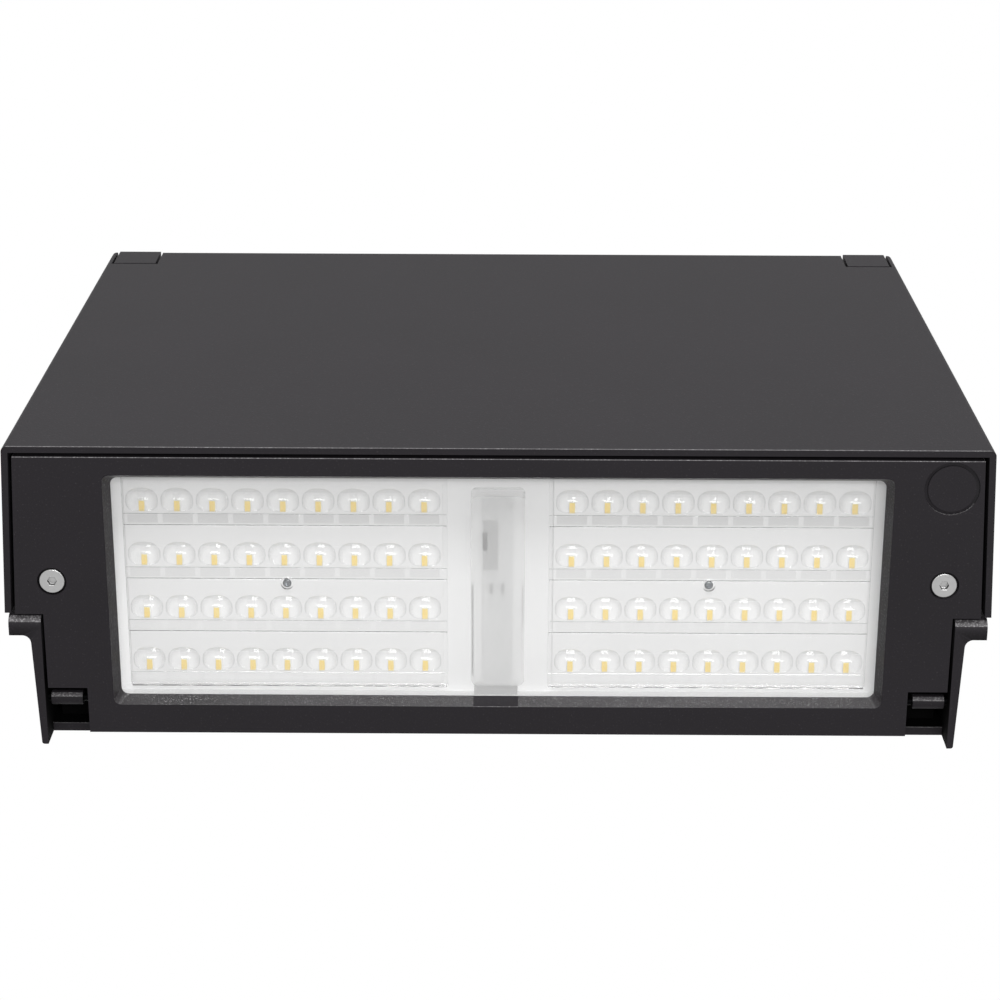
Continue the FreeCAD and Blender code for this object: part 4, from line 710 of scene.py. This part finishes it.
def socket_screw(centre, radius, height, shank, length, socket):
    """a pan head screw in mm at a centre in m, whose head points down, with a six-sided socket"""
    shape = bmesh.new()
    sides = 36
    turns = [2 * math.pi * step / sides for step in range(sides)]

    def loop(z, distance):
        """a ring of corners at a height, with the distance from the middle for each direction"""
        return [shape.verts.new((distance(turn) * math.cos(turn), distance(turn) * math.sin(turn), z))
                for turn in turns]

    def hexagon(turn):
        """the distance from the middle to the edge of the socket in one direction"""
        return socket / math.cos((turn + math.pi / 6) % (math.pi / 3) - math.pi / 6)

    outline = [(shank, length), (shank, 0.0), (radius, 0.0), (radius, -0.5 * height),
               (0.94 * radius, -0.8 * height), (0.8 * radius, -height)]
    rings = [loop(z, lambda turn, r=r: r) for r, z in outline]
    rings += [loop(z, hexagon) for z in (-height, -0.35 * height)]
    for low, high in zip(rings, rings[1:]):
        for i in range(sides):
            shape.faces.new((low[i], low[(i + 1) % sides], high[(i + 1) % sides], high[i]))
    shape.faces.new(rings[0])
    shape.faces.new(rings[-1])
    bmesh.ops.recalc_face_normals(shape, faces=shape.faces)
    bmesh.ops.transform(shape, matrix=Matrix.Translation(centre) @ Matrix.Diagonal((MM, MM, MM, 1)),
                        verts=shape.verts)
    return mesh_of(shape)


screws = bmesh.new()
for turn in (-1, 1):
    join_in(screws, socket_screw((turn * BOARD_SCREW[0], BOARD_SCREW[1], BOARD_FACE), radius=2.0,
                                 height=1.4, shank=1.2, length=1.8, socket=0.95))
piece_of("board_screws_pan_head", screws, [zinc], "lens_door", "zinc_steel", "board_screws")

# ------------------------------------------------------------------ wire cover and connector
# A frosted polycarbonate strip over the wires between the boards, with a tail that goes under
# the frame. The boards' nylon connector and two solder pins show through it as darker patches.
SOLDER_X, SOLDER_HALF, SOLDER_FRONT, SOLDER_REAR = (-3.1, 2.4), 0.7, -78.6, -74.6
SOLDER_TOP, SOLDER_ROOT = -158.8, -154.6
WIRE_ENDS = (-7.2, -106.0, -159.3), (-5.0, -97.0, -158.4)
TRAY = (-7.1, -121.5, -155.0), (6.9, -29.0, -154.6)
TAIL = (-11.2, -27.9, -157.4), (9.6, -20.6, -155.0)
COVER_FRONT, COVER_FOOT, FRONT_BACK, FOOT_BACK = -125 * MM, -156.5 * MM, 3.4 * MM, 5.6 * MM
# Nylon is moulded with a soft, dull gleam, and the wire ends beside it are nearly black.
nylon = finish_of("moulded nylon", "#50504f", "#5c5b5a", 5, Roughness=0.5)
dark_nylon = finish_of("dark wire ends", "#2a2928", "#343332", 3, Roughness=0.5)
connector = welded("board_connector")
join_in(connector, block(*WIRE_ENDS, soft=0.3), 1)
for x in SOLDER_X:
    join_in(connector, block((x - SOLDER_HALF, SOLDER_FRONT, SOLDER_TOP),
                             (x + SOLDER_HALF, SOLDER_REAR, SOLDER_ROOT), soft=0.3), 1)
piece_of("connector_moulded", connector, [nylon, dark_nylon], "lens_door", "connector_plastic",
         "board_connector", edge=0.3)

# The shallow tray that the wires lie in is moulded matt, a few shades greyer than the boards.
tray_white = finish_of("matt white moulded tray", "#bfbfbf", "#c6c6c6", 8, Roughness=0.6)
wire_tray = bmesh.new()
join_in(wire_tray, block(*TRAY, soft=0.2))
piece_of("wire_tray", wire_tray, [tray_white], "lens_door", "connector_plastic")

# Frosting scatters the light, so what lies behind the strip is pale. Its flat face covers
# more than its steep sides, where the frost lies thin.
SIDE_UPRIGHT, FACE_UPRIGHT, SIDE_COVER, FACE_COVER = 0.5, 0.95, 0.12, 0.45
frosted = grained(finish_of("frosted polycarbonate", "#dadada", "#e0e0e0", 12, Roughness=0.6,
                            Specular_IOR_Level=0.3), size=0.8, strength=0.3, depth=0.05)
tree, shader, _, _ = parts_of(frosted)
facing = add(tree, "ShaderNodeSeparateXYZ", {0: add(tree, "ShaderNodeTexCoord").outputs["Normal"]})
flat = add(tree, "ShaderNodeMath", {0: facing.outputs["Z"]}, operation="ABSOLUTE")
thick = add(tree, "ShaderNodeMapRange", {"Value": flat.outputs[0], "From Min": SIDE_UPRIGHT,
                                         "From Max": FACE_UPRIGHT, "To Min": SIDE_COVER,
                                         "To Max": FACE_COVER})
tree.links.new(thick.outputs[0], shader.inputs["Alpha"])
# The tail lies in the frame's shade, painted grey as painted shade.
tail_shade = finish_of("frosted polycarbonate painted grey in the frame's shade", "#bcbcbc", "#c4c4c4", 8, Roughness=0.6)
cover = welded("wire_cover")
for corner in cover.verts:
    if corner.co.y < COVER_FRONT:
        corner.co.y += FRONT_BACK if corner.co.z > COVER_FOOT else FOOT_BACK
join_in(cover, block(*TAIL, soft=0.5), 1)
strip = piece_of("wire_cover_frosted", cover, [frosted, tail_shade], "lens_door", "frosted_cover",
                 "wire_cover", edge=0.4, angle=20.0)
strip.visible_shadow = False

# ------------------------------------------------------------------ captive screws
# Turned stainless socket screws that stay in the door: a flat head with a six-sided socket,
# a plain shank and a ring that keeps it from falling out. They enter bent zinc plated brackets.
SCREW_X, SCREW_Y, SOCKET_REACH, SOCKET_DEPTH, HEAD_DOWN = 209 * MM, -84.5 * MM, 2.6 * MM, 4 * MM, -0.9
# Turning leaves fine marks on the heads, which soften their gleam.
stainless = grained(finish_of("turned stainless steel", "#dcdcdc", "#eaeaea", 2, Metallic=1.0,
                              Roughness=0.34), size=0.5, strength=0.3, depth=0.03)
# A broach cuts the socket. Little light gets into it, so its steel is darker and less even.
broached = finish_of("broached steel in the socket's shade", "#4c4c4c", "#6a6a6a", 1, Metallic=1.0,
                     Roughness=0.4)
for side, turn in (("left", -1), ("right", 1)):
    screw = welded(f"captive_screw_{side}")
    for face in screw.faces:
        spot = face.calc_center_median()
        near = math.hypot(spot.x - turn * SCREW_X, spot.y - SCREW_Y) < SOCKET_REACH
        face.material_index = int(near and spot.z < DOOR_FACE + SOCKET_DEPTH and face.normal.z > HEAD_DOWN)
    piece_of(f"captive_screw_{side}_turned", screw, [stainless, broached], f"captive_{side}",
             "screw_steel", f"captive_screw_{side}", edge=0.35)
    piece_of(f"screw_retainer_{side}_stamped", welded(f"screw_retainer_{side}"), [stainless],
             f"captive_{side}", "screw_steel", f"screw_retainer_{side}", edge=0.3)
    piece_of(f"latch_bracket_bent_{side}", welded(f"latch_bracket_{side}"), [zinc], "mount_side",
             "zinc_steel", f"latch_bracket_{side}", edge=0.3)
piece_of("bracket_bolts", welded("bracket_screws"), [zinc], "mount_side", "zinc_steel", "bracket_screws",
         edge=0.2)

# ------------------------------------------------------------------ driver and mains parts
# The driver, an aluminium can with feet, sits on a zinc plated tray. Beside it are a surge
# protector in a moulded case, a terminal block and a turned earth screw.

# Brush lines run along the can and draw its gleam out across them.
can = grained(finish_of("brushed anodised aluminium", "#b4b6b8", "#c3c5c7", 20, Metallic=1.0,
                        Roughness=0.36), size=0.7, strength=0.3, depth=0.03, stretch=(0.02, 1.0, 1.0))
# The mould's fine texture dulls the black plastic of the surge protector.
black_abs = grained(finish_of("moulded black ABS", "#191a1c", "#212225", 10, Roughness=0.42), size=0.7,
                    strength=0.35, depth=0.04)
# Polyamide is a warm cream and half matt, and turned brass is a bright yellow.
cream = finish_of("moulded cream polyamide", "#d2cdbc", "#ddd8c9", 6, Roughness=0.45)
brass = finish_of("turned brass", "#a8803c", "#bd9550", 2, Metallic=1.0, Roughness=0.3)
for node, form, finish, slot, edge in (
        ("driver_tray", "folded", zinc, "zinc_steel", 0.3), ("tray_screws", "set", zinc, "zinc_steel", 0.2),
        ("led_driver", "can", can, "driver_case", 0.8), ("driver_screws", "set", zinc, "zinc_steel", 0.2),
        ("surge_protector", "case", black_abs, "surge_plastic", 1.0),
        ("terminal_block", "moulded", cream, "terminal_plastic", 0.5),
        ("ground_screw", "turned", brass, "brass_screw", 0.2)):
    piece_of(f"{node}_{form}", welded(node), [finish], "mount_side", slot, node, edge=edge)
